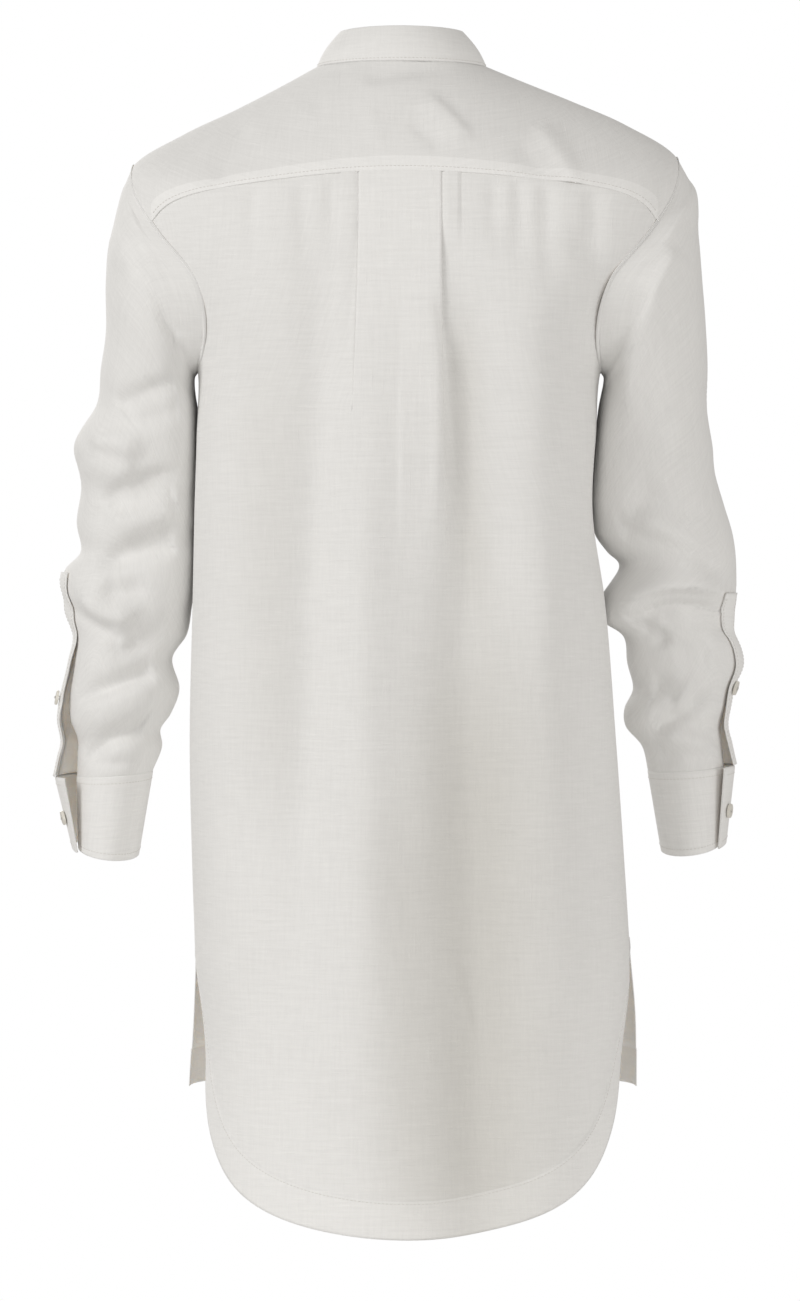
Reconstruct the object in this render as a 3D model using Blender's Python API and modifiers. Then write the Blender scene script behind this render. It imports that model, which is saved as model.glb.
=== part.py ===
"""Long linen blouse, filled out: stand collar, back yoke, box pleat, shirt-tail back, long sleeves.

The front faces -Y, +Z is up and +X is the wearer's left. The origin lies between the shoulders,
level with the foot of the collar at the back. Sizes are metres.
"""

import math

import bpy
import numpy as np
from mathutils import Vector

# Cloth and seams
CLOTH = 0.0014
SEAM_GAP = 0.0003
LAYER_STEP = 0.0020
# What keeps laid-over cloth just clear of the cloth below it
LAP_CLEAR = 0.0001
STRIP_LIFT = LAYER_STEP + 2 * LAP_CLEAR
# Radius of the body at its side seams, which turns a gap along the cloth into an angle
SIDE_RADIUS = 0.1200

# Heights down from the foot of the collar
YOKE_DEPTH_CENTRE = 0.0850
YOKE_DEPTH_ARMHOLE = 0.1239
YOKE_SEAM_DIP = 3.2
SLIT_TOP = 0.6700
FRONT_HEM = 0.7850
BACK_HEM = 0.8920

# Armhole, an oval on the body: its middle, half height, and half width as an angle
ARMHOLE_LEVEL = 0.1650
ARMHOLE_HALF_HEIGHT = 0.0700
ARMHOLE_HALF_ANGLE = math.radians(39)
SLEEVE_SIDES = 20
YOKE_BACK_STEP = 3
YOKE_FRONT_STEP = 2
YOKE_ROWS = 5
YOKE_COLUMNS = 25
ARMHOLE_CLEAR = CLOTH / 2 + SEAM_GAP
UNDERARM_LIFT = 0.0013

# Body sections from the foot of the collar to below the hem. Left and right are half widths,
# sag lowers the quarters between side and centre, square is the exponent of the section's curve.
BODY_COLUMNS = (
    "level", "left", "right", "left_z", "right_z", "back_y", "back_z", "front_y", "front_z", "sag", "square",
)
BODY_SECTIONS = (
    (0.000, 0.0635, 0.0660, -0.0010, -0.0010, 0.058, 0.000, 0.078, -0.042, 0.000, 2.0),
    (0.020, 0.0890, 0.0930, -0.0150, -0.0120, 0.077, -0.021, 0.093, -0.064, 0.004, 2.1),
    (0.045, 0.1270, 0.1330, -0.0345, -0.0280, 0.093, -0.047, 0.107, -0.086, 0.010, 2.2),
    (0.070, 0.1660, 0.1740, -0.0530, -0.0460, 0.104, -0.072, 0.118, -0.104, 0.013, 2.4),
    (0.095, 0.2050, 0.2130, -0.0775, -0.0715, 0.111, -0.097, 0.126, -0.120, 0.010, 2.5),
    (0.130, 0.2070, 0.2140, -0.1280, -0.1270, 0.117, -0.132, 0.133, -0.145, 0.003, 2.6),
    (0.170, 0.1850, 0.1900, -0.1700, -0.1700, 0.121, -0.171, 0.137, -0.176, 0.000, 2.6),
    (0.225, 0.1570, 0.1570, -0.2250, -0.2250, 0.123, -0.225, 0.138, -0.226, 0.000, 2.5),
    (0.286, 0.1555, 0.1500, -0.2860, -0.2860, 0.122, -0.286, 0.135, -0.286, 0.000, 2.5),
    (0.340, 0.1570, 0.1470, -0.3400, -0.3400, 0.120, -0.340, 0.131, -0.340, 0.000, 2.5),
    (0.410, 0.1586, 0.1570, -0.4100, -0.4100, 0.119, -0.410, 0.128, -0.410, 0.000, 2.4),
    (0.520, 0.1610, 0.1660, -0.5200, -0.5200, 0.123, -0.520, 0.129, -0.520, 0.000, 2.4),
    (0.630, 0.1585, 0.1735, -0.6300, -0.6300, 0.128, -0.630, 0.131, -0.630, 0.000, 2.4),
    (0.677, 0.1570, 0.1765, -0.6770, -0.6770, 0.130, -0.677, 0.132, -0.677, 0.000, 2.4),
    (0.730, 0.1585, 0.1810, -0.7300, -0.7300, 0.131, -0.730, 0.132, -0.730, 0.000, 2.4),
    (0.785, 0.1617, 0.1814, -0.7850, -0.7850, 0.132, -0.785, 0.132, -0.785, 0.000, 2.4),
    (0.900, 0.1640, 0.1820, -0.9000, -0.9000, 0.133, -0.900, 0.133, -0.900, 0.000, 2.4),
)

# How square the corners of the shirt-tail are
HEM_CORNER = {"left": 2.1, "right": 1.75}
HEM_MIDDLE = -0.045

# Box pleat: half width of the panel on top, depth of each fold under it, heights of its three layers
PLEAT_HALF = 0.0310
PLEAT_UNDER = 0.0220
PLEAT_TURN = 0.0016
PLEAT_TOP = 0.0016
PLEAT_SPREAD = 0.0560
PLEAT_SWELL = 2.2
# Places across between which the columns turn from lying beside the pleat to even spacing
PLEAT_BLEND = (0.045, 0.105)
# Where each side of the pleat is let go and where it lies open, below the foot of the collar
PLEAT_OPENS = {"left": (0.100, 0.420), "right": (0.140, 0.600)}
# The back's free edges curl inwards below the slits
SLIT_CURL = 0.0120
SLIT_CURL_BELOW = 0.1000
SLIT_CURL_TURNS = (math.radians(20), math.radians(65))

# Broad folds of the back: where each starts and ends, its half width and its height (below zero, a trough)
FOLD_COLUMNS = ("top_x", "top_level", "low_x", "low_level", "width", "height")
BACK_FOLDS = (
    (-0.0200, 0.300, -0.0280, 0.760, 0.0200, -0.0100),
    (0.0500, 0.240, 0.0560, 0.700, 0.0200, 0.0050),
    (-0.0700, 0.280, -0.0750, 0.720, 0.0260, 0.0045),
    (0.0950, 0.350, 0.1020, 0.800, 0.0280, -0.0030),
    (-0.1180, 0.520, -0.1380, 0.700, 0.0200, -0.0035),
)
PUCKERS = (
    (0.1120, 0.090, 0.1130, 0.165, 0.0070, -0.0022),
    (0.0740, 0.085, 0.0750, 0.150, 0.0060, -0.0018),
    (0.0530, 0.085, 0.0535, 0.140, 0.0050, -0.0018),
    (-0.0710, 0.085, -0.0720, 0.145, 0.0060, -0.0018),
    (-0.0900, 0.088, -0.0910, 0.160, 0.0060, -0.0020),
    (-0.1110, 0.090, -0.1120, 0.170, 0.0060, -0.0022),
    (-0.1470, 0.100, -0.1460, 0.165, 0.0070, -0.0022),
)
FRONT_FOLDS = (
    (-0.0800, 0.330, -0.0860, 0.740, 0.0260, -0.0060),
    (0.0850, 0.350, 0.0900, 0.740, 0.0280, -0.0070),
    (0.0450, 0.420, 0.0480, 0.760, 0.0220, 0.0045),
)

# Collar band: height, lean inward, and how far the ends lap at the front
COLLAR_HEIGHT = 0.0265
COLLAR_LEAN_SIDE = 0.0175
COLLAR_LEAN_BACK = 0.0080
COLLAR_LEAN_FRONT = 0.0110
COLLAR_LAP = 0.0140
COLLAR_BOW = 0.0022
COLLAR_CLOTH = 0.0016
COLLAR_FOOT = CLOTH / 2 + SEAM_GAP
COLLAR_RADIUS = 0.0660
COLLAR_COLUMNS = 41
COLLAR_SHARES = (0.36, 0.68, 1.0)

# Front opening: strip width, lengths, and its four buttons
PLACKET_HALF = 0.0150
OPENING_DEPTH = 0.2900
OPENING_HALF_CUT = 0.0008
PLACKET_DEPTH = 0.3080
STRIP_TOP = 0.0018
STRIP_ROWS = 17
FRONT_BUTTON_LEVELS = (0.045, 0.120, 0.195, 0.270)
FRONT_HALF_COLUMNS = 12
FRONT_ROWS_BELOW = 14

# Sleeve sections from the head to the cuff seam. Outer and inner are the two sides seen from behind.
SLEEVE_COLUMNS = ("outer_x", "outer_z", "inner_x", "inner_z", "centre_y", "half_depth")
SLEEVE_LEFT = (
    (0.2145, -0.0990, 0.1590, -0.2380, -0.0040, 0.0820),
    (0.2220, -0.1310, 0.1595, -0.2440, -0.0060, 0.0795),
    (0.2264, -0.1660, 0.1590, -0.2520, -0.0110, 0.0760),
    (0.2267, -0.2030, 0.1575, -0.2640, -0.0180, 0.0725),
    (0.2310, -0.2320, 0.1568, -0.2790, -0.0250, 0.0695),
    (0.2345, -0.2600, 0.1562, -0.2960, -0.0310, 0.0665),
    (0.2520, -0.2900, 0.1564, -0.3170, -0.0350, 0.0645),
    (0.2465, -0.3200, 0.1570, -0.3390, -0.0380, 0.0610),
    (0.2505, -0.3496, 0.1577, -0.3610, -0.0400, 0.0605),
    (0.2475, -0.3727, 0.1582, -0.3810, -0.0420, 0.0595),
    (0.2605, -0.3890, 0.1590, -0.3990, -0.0440, 0.0615),
    (0.2591, -0.4143, 0.1620, -0.4150, -0.0460, 0.0595),
    (0.2514, -0.4380, 0.1660, -0.4366, -0.0490, 0.0540),
    (0.2530, -0.4580, 0.1775, -0.4560, -0.0510, 0.0510),
    (0.2570, -0.4860, 0.1720, -0.4790, -0.0540, 0.0510),
    (0.2565, -0.5020, 0.1785, -0.4980, -0.0570, 0.0470),
    (0.2510, -0.5180, 0.1870, -0.5110, -0.0600, 0.0440),
    (0.2510, -0.5320, 0.1860, -0.5250, -0.0630, 0.0445),
    (0.2514, -0.5475, 0.1935, -0.5436, -0.0660, 0.0410),
)
SLEEVE_RIGHT = (
    (0.2285, -0.0990, 0.1580, -0.2380, -0.0040, 0.0820),
    (0.2300, -0.1300, 0.1580, -0.2430, -0.0060, 0.0795),
    (0.2325, -0.1620, 0.1570, -0.2500, -0.0110, 0.0760),
    (0.2355, -0.1950, 0.1550, -0.2620, -0.0180, 0.0725),
    (0.2375, -0.2350, 0.1525, -0.2820, -0.0260, 0.0690),
    (0.2345, -0.2620, 0.1505, -0.3010, -0.0310, 0.0665),
    (0.2410, -0.2900, 0.1485, -0.3220, -0.0350, 0.0640),
    (0.2440, -0.3130, 0.1480, -0.3430, -0.0380, 0.0620),
    (0.2510, -0.3370, 0.1520, -0.3600, -0.0400, 0.0610),
    (0.2580, -0.3600, 0.1610, -0.3727, -0.0420, 0.0600),
    (0.2605, -0.3800, 0.1705, -0.3850, -0.0440, 0.0595),
    (0.2605, -0.4050, 0.1560, -0.4090, -0.0450, 0.0615),
    (0.2585, -0.4220, 0.1560, -0.4250, -0.0470, 0.0600),
    (0.2610, -0.4400, 0.1740, -0.4385, -0.0490, 0.0540),
    (0.2640, -0.4600, 0.1771, -0.4590, -0.0520, 0.0510),
    (0.2565, -0.4780, 0.1817, -0.4790, -0.0550, 0.0480),
    (0.2530, -0.4930, 0.1752, -0.4950, -0.0570, 0.0470),
    (0.2490, -0.5080, 0.1765, -0.5090, -0.0600, 0.0445),
    (0.2505, -0.5230, 0.1890, -0.5240, -0.0630, 0.0435),
    (0.2525, -0.5400, 0.1940, -0.5436, -0.0660, 0.0410),
)
# Where the ring of the sleeve's head lies between the armhole and the first section
HEAD_SHARE = 0.50
# How much lower the back of a sleeve's section hangs, by height
BACK_DROPS = ((-0.450, 0.0), (-0.545, 0.0020), (-0.606, 0.0070))

# Creases round the sleeves: height and angle of the middle (0 outside, 90 behind, 180 next to the body),
# rise for each radian round, half width down the sleeve, reach round it, and depth
CREASE_COLUMNS = ("middle_z", "angle", "rise", "width", "reach", "depth")
CREASES_LEFT = (
    (-0.185, 100, -0.055, 0.0120, 45, -0.0050),
    (-0.268, 110, 0.012, 0.0090, 70, -0.0045),
    (-0.337, 100, 0.010, 0.0100, 70, -0.0055),
    (-0.372, 110, 0.014, 0.0080, 70, -0.0055),
    (-0.430, 60, -0.020, 0.0080, 60, -0.0055),
    (-0.474, 90, 0.014, 0.0080, 70, -0.0045),
    (-0.512, 100, 0.020, 0.0080, 70, -0.0045),
    (-0.300, 280, -0.010, 0.0100, 60, -0.0045),
    (-0.390, 270, 0.012, 0.0090, 70, -0.0060),
    (-0.450, 290, -0.012, 0.0090, 60, -0.0050),
)
CREASES_RIGHT = (
    (-0.170, 100, -0.060, 0.0120, 45, -0.0050),
    (-0.362, 110, 0.024, 0.0090, 60, -0.0060),
    (-0.428, 80, 0.006, 0.0080, 75, -0.0070),
    (-0.470, 100, -0.010, 0.0080, 60, -0.0040),
    (-0.500, 90, 0.020, 0.0080, 65, -0.0045),
    (-0.530, 90, 0.008, 0.0070, 70, -0.0045),
    (-0.310, 280, -0.010, 0.0100, 60, -0.0045),
    (-0.385, 270, 0.012, 0.0090, 70, -0.0060),
    (-0.455, 290, -0.012, 0.0090, 60, -0.0050),
)

# Sleeve openings: the first column of the slit, its top row, how the columns turn by the cuff,
# how far the lapping edge stands off at the slit's top, at its middle, at the cuff's top and bottom,
# and the row of the strip that carries the button
SLITS = {
    "left": {"column": 1, "row": 14, "turn": -20, "stand_off": (0.0, 0.0080, 0.0170, 0.0050), "button_row": 4},
    "right": {"column": 2, "row": 15, "turn": -30, "stand_off": (0.0, 0.0020, 0.0080, 0.0045), "button_row": 4},
}
SLIT_HALF_ANGLE = math.radians(1.2)
LAP_RAMP = math.radians(60)
CUFF_LAP = math.radians(34)
CUFF_LEFT_HEM = (0.2503, -0.6025, 0.2045, -0.6080, -0.0690, 0.0390)
CUFF_RIGHT_HEM = (0.2495, -0.5985, 0.2045, -0.6050, -0.0690, 0.0390)
CUFF_HEIGHT = 0.0560
CUFF_ROWS = 3
CUFF_CLOTH = 0.0018
STRIP_BEFORE = math.radians(8)
STRIP_AFTER = math.radians(15)
STRIP_END_BACK = 0.10

# Buttons
BUTTON_RADIUS = 0.0056
BUTTON_THICKNESS = 0.0024
BUTTON_HOLE_RADIUS = 0.0009
BUTTON_HOLE_OFFSET = 0.0014
BUTTON_SIDES = 14
BUTTON_HOLE_SIDES = 5
BUTTON_SEAT = 0.0007
STRIP_BUTTON_AT = math.radians(3)
CUFF_BUTTON_AT = math.radians(16)

SIDES = {"left": 1, "right": -1}


def table(columns, rows):
    """The rows as one array for each named column."""
    return {name: np.array([row[i] for row in rows]) for i, name in enumerate(columns)}


def smooth(places, values, at):
    """Values at the places asked for, on a curve through the given ones with steady slopes."""
    at = np.asarray(at, float)
    slopes = np.gradient(values, places, axis=0)
    i = np.clip(np.searchsorted(places, at, side="right") - 1, 0, len(places) - 2)
    step = places[i + 1] - places[i]
    t = (at - places[i]) / step
    if values.ndim > 1:
        shape = t.shape + (1,) * (values.ndim - 1)
        t, step = t.reshape(shape), step.reshape(shape)
    start, end = values[i], values[i + 1]
    leave, arrive = slopes[i] * step, slopes[i + 1] * step
    return (
        (2 * t**3 - 3 * t**2 + 1) * start
        + (t**3 - 2 * t**2 + t) * leave
        + (3 * t**2 - 2 * t**3) * end
        + (t**3 - t**2) * arrive
    )


def ease(value, low, high):
    """0 below low, 1 above high and a soft step between."""
    t = np.clip((value - low) / (high - low), 0, 1)
    return t * t * (3 - 2 * t)


# Columns of the back outside its pleat, as places across the yoke seam, and rows below the armholes
BACK_PLAIN_COLUMNS = (
    0.0530, 0.0640, 0.0740, 0.0820, 0.0900, 0.1010, 0.1120, 0.1300, 0.1480, 0.1620, 0.1730, 0.1810,
)
BACK_TOP_HALF = 0.1900
BACK_ROWS_BELOW = 17
BACK_ROW_SPACING = 0.9

BODY = table(BODY_COLUMNS, BODY_SECTIONS)


def body_at(column, level):
    return smooth(BODY["level"], BODY[column], level)


def body_skin(turn, level):
    """Points of the body's form. Turn is 0 at the centre back and a quarter turn at the left side."""
    turn, level = np.broadcast_arrays(np.asarray(turn, float), np.asarray(level, float))
    s, c = np.sin(turn), np.cos(turn)
    square = body_at("square", level)
    grow = (np.abs(s) ** square + np.abs(c) ** square) ** (-1 / square)
    half = np.where(s >= 0, body_at("left", level), body_at("right", level))
    depth = np.where(c >= 0, body_at("back_y", level), body_at("front_y", level))
    end_z = np.where(c >= 0, body_at("back_z", level), body_at("front_z", level))
    side_z = np.where(s >= 0, body_at("left_z", level), body_at("right_z", level))
    z = side_z + (end_z - side_z) * c**2 - 4 * body_at("sag", level) * c**2 * (1 - c**2)
    return np.stack([grow * half * s, grow * depth * c, z], axis=-1)


def body_normal(turn, level):
    nudge = 0.0005
    round_it = body_skin(turn + nudge, level) - body_skin(turn - nudge, level)
    down_it = body_skin(turn, level + nudge) - body_skin(turn, level - nudge)
    normal = np.cross(round_it, down_it)
    return normal / np.linalg.norm(normal, axis=-1, keepdims=True)


def body_point(turn, level, out=0.0):
    """A point of the body's form, moved out from it."""
    turn, level, out = np.broadcast_arrays(*(np.asarray(v, float) for v in (turn, level, out)))
    return body_skin(turn, level) + body_normal(turn, level) * out[..., None]


def turn_at_x(x, level, front=False):
    """The turn at which the section has this x."""
    half = np.where(x >= 0, body_at("left", level), body_at("right", level))
    square = body_at("square", level)
    share = np.clip(np.abs(x) / half, 0, 0.98)
    turn = np.sign(x) * np.arctan2(share, (1 - share**square) ** (1 / square))
    return math.pi - turn if front else turn


def folds_out(rows, x, level):
    """Height of all the folds at a place, from their table."""
    total = np.zeros(np.broadcast(x, level).shape)
    folds = table(FOLD_COLUMNS, rows)
    for i in range(len(rows)):
        f = {name: folds[name][i] for name in FOLD_COLUMNS}
        share = (level - f["top_level"]) / (f["low_level"] - f["top_level"])
        line_x = f["top_x"] + (f["low_x"] - f["top_x"]) * share
        fade = ease(share, -0.15, 0.25) * (1 - ease(share, 0.75, 1.15))
        total = total + f["height"] * fade * np.exp(-(((x - line_x) / f["width"]) ** 2))
    return total


def puckers_out(x, level):
    """Depth of the small eased puckers, greatest at the yoke seam."""
    total = np.zeros(np.broadcast(x, level).shape)
    for row in PUCKERS:
        p = dict(zip(FOLD_COLUMNS, row))
        fade = 1 - ease(level, p["top_level"], p["low_level"])
        total = total + p["height"] * fade * np.exp(-(((x - p["top_x"]) / p["width"]) ** 2))
    return total


def armhole_turn(angle):
    """Turn and level of the armhole oval, at an angle from its top towards the back."""
    turn = math.pi / 2 - ARMHOLE_HALF_ANGLE * np.sin(angle)
    level = ARMHOLE_LEVEL - ARMHOLE_HALF_HEIGHT * np.cos(angle)
    return turn, level


def cloth(name, points, material, thickness=CLOTH, joined_rows=0, open_column=None, open_rows=0):
    """A sheet of cloth over a grid of points, rows by columns, as a wall of even thickness.

    In the joined rows the last column is the first one, as in a tube. In the open rows the faces
    after the open column are left out, as in a slit.
    """
    rows, columns = points.shape[:2]
    index = np.arange(rows * columns).reshape(rows, columns)
    index[:joined_rows, -1] = index[:joined_rows, 0]
    faces = []
    for r in range(rows - 1):
        for c in range(columns - 1):
            if c == open_column and r < open_rows:
                continue
            corners = (index[r, c], index[r + 1, c], index[r + 1, c + 1], index[r, c + 1])
            faces.append([int(i) for i in corners])
    mesh = bpy.data.meshes.new(name)
    mesh.from_pydata(points.reshape(-1, 3).tolist(), [], faces)
    used = {i for face in faces for i in face}
    if len(used) < rows * columns:
        drop_loose(mesh)
    mesh.validate()
    mesh.materials.append(material)
    mesh.shade_smooth()
    obj = bpy.data.objects.new(name, mesh)
    GARMENT.objects.link(obj)
    wall = obj.modifiers.new("Wall", "SOLIDIFY")
    wall.thickness = thickness
    wall.offset = 0
    wall.use_quality_normals = True
    return obj


def drop_loose(mesh):
    """Removes the points that no face uses."""
    used = sorted({i for polygon in mesh.polygons for i in polygon.vertices})
    new = {old: i for i, old in enumerate(used)}
    points = [tuple(mesh.vertices[i].co) for i in used]
    faces = [[new[i] for i in polygon.vertices] for polygon in mesh.polygons]
    mesh.clear_geometry()
    mesh.from_pydata(points, [], faces)


def surface(name, colour, roughness):
    material = bpy.data.materials.new(name)
    material.use_nodes = True
    shader = material.node_tree.nodes["Principled BSDF"]
    shader.inputs["Base Color"].default_value = (*colour, 1)
    shader.inputs["Roughness"].default_value = roughness
    shader.inputs["Metallic"].default_value = 0
    return material


def yoke_seam_level(turn):
    """The yoke seam, lower towards the armholes."""
    end_turn = armhole_turn(math.tau / SLEEVE_SIDES * YOKE_BACK_STEP)[0]
    share = np.clip(np.abs(turn) / end_turn, 0, 1)
    return YOKE_DEPTH_CENTRE + (YOKE_DEPTH_ARMHOLE - YOKE_DEPTH_CENTRE) * share**YOKE_SEAM_DIP


def make_yoke(linen):
    """The yoke, from the neck to the seam behind, the armholes and the seams in front."""
    step = math.tau / SLEEVE_SIDES
    side = [armhole_turn(step * k) for k in range(YOKE_BACK_STEP, -YOKE_FRONT_STEP - 1, -1)]
    back_end = side[0][0]
    back = np.linspace(-back_end, back_end, YOKE_COLUMNS)[1:-1]
    turns = [-turn for turn, _ in reversed(side)] + list(back) + [turn for turn, _ in side]
    edges = [level for _, level in reversed(side)] + list(yoke_seam_level(back)) + [e for _, e in side]
    turns, edges = np.array(turns), np.array(edges)
    turns[0] += SEAM_GAP / SIDE_RADIUS
    turns[-1] -= SEAM_GAP / SIDE_RADIUS
    share = np.linspace(0, 1, YOKE_ROWS)[:, None]
    levels = SEAM_GAP + share * (edges - 2 * SEAM_GAP)[None, :]
    cloth("yoke", body_point(turns[None, :], levels), linen)


def pleat_section():
    """Columns of the back near the centre: place across and height, with the pleat shut and open."""
    top, base = PLEAT_TOP, PLEAT_TOP - 2 * LAYER_STEP
    middle = PLEAT_TOP - LAYER_STEP
    half, inner = PLEAT_HALF, PLEAT_HALF - PLEAT_UNDER
    shut = [
        (half * 0.5, top),
        (half - PLEAT_TURN, top),
        (half, (top + middle) / 2),
        (half - PLEAT_TURN, middle),
        (inner + PLEAT_TURN, middle),
        (inner, (middle + base) / 2),
        (inner + PLEAT_TURN, base),
        (half - PLEAT_TURN, base),
        (half + 0.010, base * 0.45),
    ]
    shut = np.array(shut)
    run = np.concatenate([[half * 0.5], np.hypot(*np.diff(shut, axis=0).T)]).cumsum()
    open_x = run * PLEAT_SPREAD / run[-2]
    open_x[-1] = max(open_x[-1], open_x[-2] + 0.009)
    return shut, open_x


def back_hem_level(turn):
    """The shirt-tail hem: steep down the slits, round at the corners and level at the centre."""
    aside = turn - HEM_MIDDLE
    reach = math.pi / 2 - np.sign(aside) * HEM_MIDDLE
    corner = np.where(aside > 0, HEM_CORNER["left"], HEM_CORNER["right"])
    share = (1 - np.clip(np.abs(aside) / reach, 0, 1) ** 2) ** (1 / corner)
    return SLIT_TOP + (BACK_HEM - SLIT_TOP) * share


def back_columns(side):
    """Columns from the centre to one side: place across with the pleat shut and open, and height."""
    shut, open_x = pleat_section()
    plain = np.array(BACK_PLAIN_COLUMNS)
    far = 1 - (plain - PLEAT_HALF) / (BACK_TOP_HALF - PLEAT_HALF)
    spread = plain + (open_x[-1] - shut[-1, 0]) * far
    shut_x = np.concatenate([shut[:, 0], plain])
    shut_out = np.concatenate([shut[:, 1], np.zeros(len(plain))])
    return side * shut_x, side * np.concatenate([open_x, spread]), shut_out


def back_row(side, edge_turn, level_of):
    """Turns, levels and heights of one row of the back, from beside the centre to its edge.

    level_of gives a column's level from its share of the way to the edge and from its turn.
    """
    sign = SIDES[side]
    shut_x, open_x, shut_out = back_columns(sign)
    seam_turn = turn_at_x(shut_x, np.full(shut_x.shape, YOKE_DEPTH_ARMHOLE))
    share = np.abs(seam_turn) / armhole_turn(math.tau / SLEEVE_SIDES * YOKE_BACK_STEP)[0]
    even = share * edge_turn
    turn = even
    for _ in range(3):
        level = level_of(share, turn)
        opened = ease(level, *PLEAT_OPENS[side])
        x = shut_x + (open_x - shut_x) * opened
        mix = ease(np.abs(x), *PLEAT_BLEND)
        turn = np.abs(turn_at_x(x, level)) * (1 - mix) + even * mix
    layers = shut_out * (1 + (PLEAT_SWELL - 1) * ease(opened, 0, 0.45)) * (1 - ease(opened, 0.5, 1))
    curl = SLIT_CURL * ease(level, SLIT_TOP, SLIT_TOP + SLIT_CURL_BELOW)
    layers = layers - curl * ease(turn, *SLIT_CURL_TURNS)
    x = body_skin(sign * turn, level)[..., 0]
    plain = np.abs(shut_x) > PLEAT_HALF
    out = layers + folds_out(BACK_FOLDS, x, level) + puckers_out(x, level) * plain
    edge_level = level_of(np.ones(1), np.full(1, edge_turn))
    return np.append(turn, edge_turn), np.append(level, edge_level), np.append(out, 0)


def make_back(linen):
    """The back: one sheet with its box pleat folded in, eased to the yoke and cut to a shirt-tail."""
    steps = np.arange(YOKE_BACK_STEP, SLEEVE_SIDES // 2 + 1)
    edge_turns, edge_levels = armhole_turn(math.tau / SLEEVE_SIDES * steps)
    under = edge_levels[-1]

    def beside_armhole(down):
        def level(share, turn):
            seam = yoke_seam_level(share * edge_turns[0]) + SEAM_GAP
            return seam + down * (under - seam)

        return level, level

    def below_armhole(down):
        def level(sign):
            return lambda share, turn: under + down * (back_hem_level(sign * turn) - under)

        return level(SIDES["right"]), level(SIDES["left"])

    downs = (edge_levels - edge_levels[0]) / (under - edge_levels[0])
    rows = [(edge_turn, *beside_armhole(down)) for edge_turn, down in zip(edge_turns, downs)]
    for down in np.linspace(0, 1, BACK_ROWS_BELOW + 1)[1:] ** BACK_ROW_SPACING:
        rows.append((math.pi / 2, *below_armhole(down)))
    turns, levels, outs = [], [], []
    for edge_turn, right_level, left_level in rows:
        edge_turn = edge_turn - SEAM_GAP / SIDE_RADIUS
        right, left = back_row("right", edge_turn, right_level), back_row("left", edge_turn, left_level)
        turns.append(np.concatenate([-right[0][::-1], [0.0], left[0]]))
        levels.append(np.concatenate([right[1][::-1], [(right[1][0] + left[1][0]) / 2], left[1]]))
        outs.append(np.concatenate([right[2][::-1], [(right[2][0] + left[2][0]) / 2], left[2]]))
    cloth("back", body_point(np.array(turns), np.array(levels), np.array(outs)), linen)


def make_front(linen):
    """The front: one sheet from the neck to a level hem, slit at the top for the opening."""
    step = math.tau / SLEEVE_SIDES
    steps = np.arange(YOKE_FRONT_STEP, SLEEVE_SIDES // 2 + 1)
    arm_turns, arm_levels = armhole_turn(step * steps)
    top_levels = np.linspace(SEAM_GAP, arm_levels[0] - SEAM_GAP, YOKE_ROWS)
    below = np.linspace(arm_levels[-1], FRONT_HEM, FRONT_ROWS_BELOW + 1)[1:]
    below[np.abs(below - OPENING_DEPTH).argmin()] = OPENING_DEPTH
    levels = np.concatenate([top_levels, arm_levels[1:], below])
    edges = np.concatenate([np.full(YOKE_ROWS, arm_turns[0]), arm_turns[1:], np.full(len(below), math.pi / 2)])
    edges = edges - SEAM_GAP / SIDE_RADIUS
    share = np.linspace(0, 1, FRONT_HALF_COLUMNS)[1:]
    rows = []
    for level, edge in zip(levels, edges):
        cut_turn = OPENING_HALF_CUT / float(body_at("left", level))
        turn = math.pi - np.concatenate([[cut_turn], share * edge])
        rows.append(np.concatenate([-turn[::-1], turn]))
    turns = np.array(rows)
    level_grid = np.broadcast_to(levels[:, None], turns.shape)
    x = body_skin(turns, level_grid)[..., 0]
    out = folds_out(FRONT_FOLDS, x, level_grid)
    open_rows = int(np.searchsorted(levels, OPENING_DEPTH))
    middle = turns.shape[1] // 2 - 1
    cloth("front", body_point(turns, level_grid, out), linen, open_column=middle, open_rows=open_rows)


def front_strip(name, linen, out):
    """A strip down the front opening, on the outside or the inside of the front."""
    levels = np.linspace(STRIP_TOP, PLACKET_DEPTH, STRIP_ROWS)
    across = np.linspace(-PLACKET_HALF, PLACKET_HALF, 5)
    grid_x, grid_level = np.meshgrid(across, levels)
    turns = turn_at_x(grid_x, grid_level, front=True)
    cloth(name, body_point(turns, grid_level, out + folds_out(FRONT_FOLDS, grid_x, grid_level)), linen)


def collar_point(turn, share, out=0.0):
    """The stand collar: share 0 at its foot, 1 at its top edge."""
    foot = body_skin(turn, np.zeros(np.shape(turn)))
    s, c = np.sin(turn), np.cos(turn)
    lean_y = np.where(c >= 0, COLLAR_LEAN_BACK, COLLAR_LEAN_FRONT)
    lean = np.stack([-s * COLLAR_LEAN_SIDE, -c * lean_y, np.full(np.shape(turn), COLLAR_HEIGHT)], axis=-1)
    away = np.stack([s, c, np.zeros(np.shape(turn))], axis=-1)
    return foot + lean * np.asarray(share)[..., None] + away * np.asarray(out)[..., None]


def make_collar(linen):
    """The collar band, its right end lapped over its left at the front."""
    lap = COLLAR_LAP / COLLAR_RADIUS
    turns = np.linspace(-math.pi - lap, math.pi + lap, COLLAR_COLUMNS)
    lap_out = LAYER_STEP / 2 + LAP_CLEAR
    over, under = (ease(way * turns, math.pi * 0.6, math.pi * 0.92) for way in (-1, 1))
    out = lap_out * (over - under)
    grid_turn, grid_share = np.meshgrid(turns, [COLLAR_FOOT / COLLAR_HEIGHT, *COLLAR_SHARES])
    bow = COLLAR_BOW * np.sin(math.pi * grid_share)
    out = np.broadcast_to(out, grid_turn.shape) + bow
    cloth("collar_band", collar_point(grid_turn, grid_share, out), linen, COLLAR_CLOTH)


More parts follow.
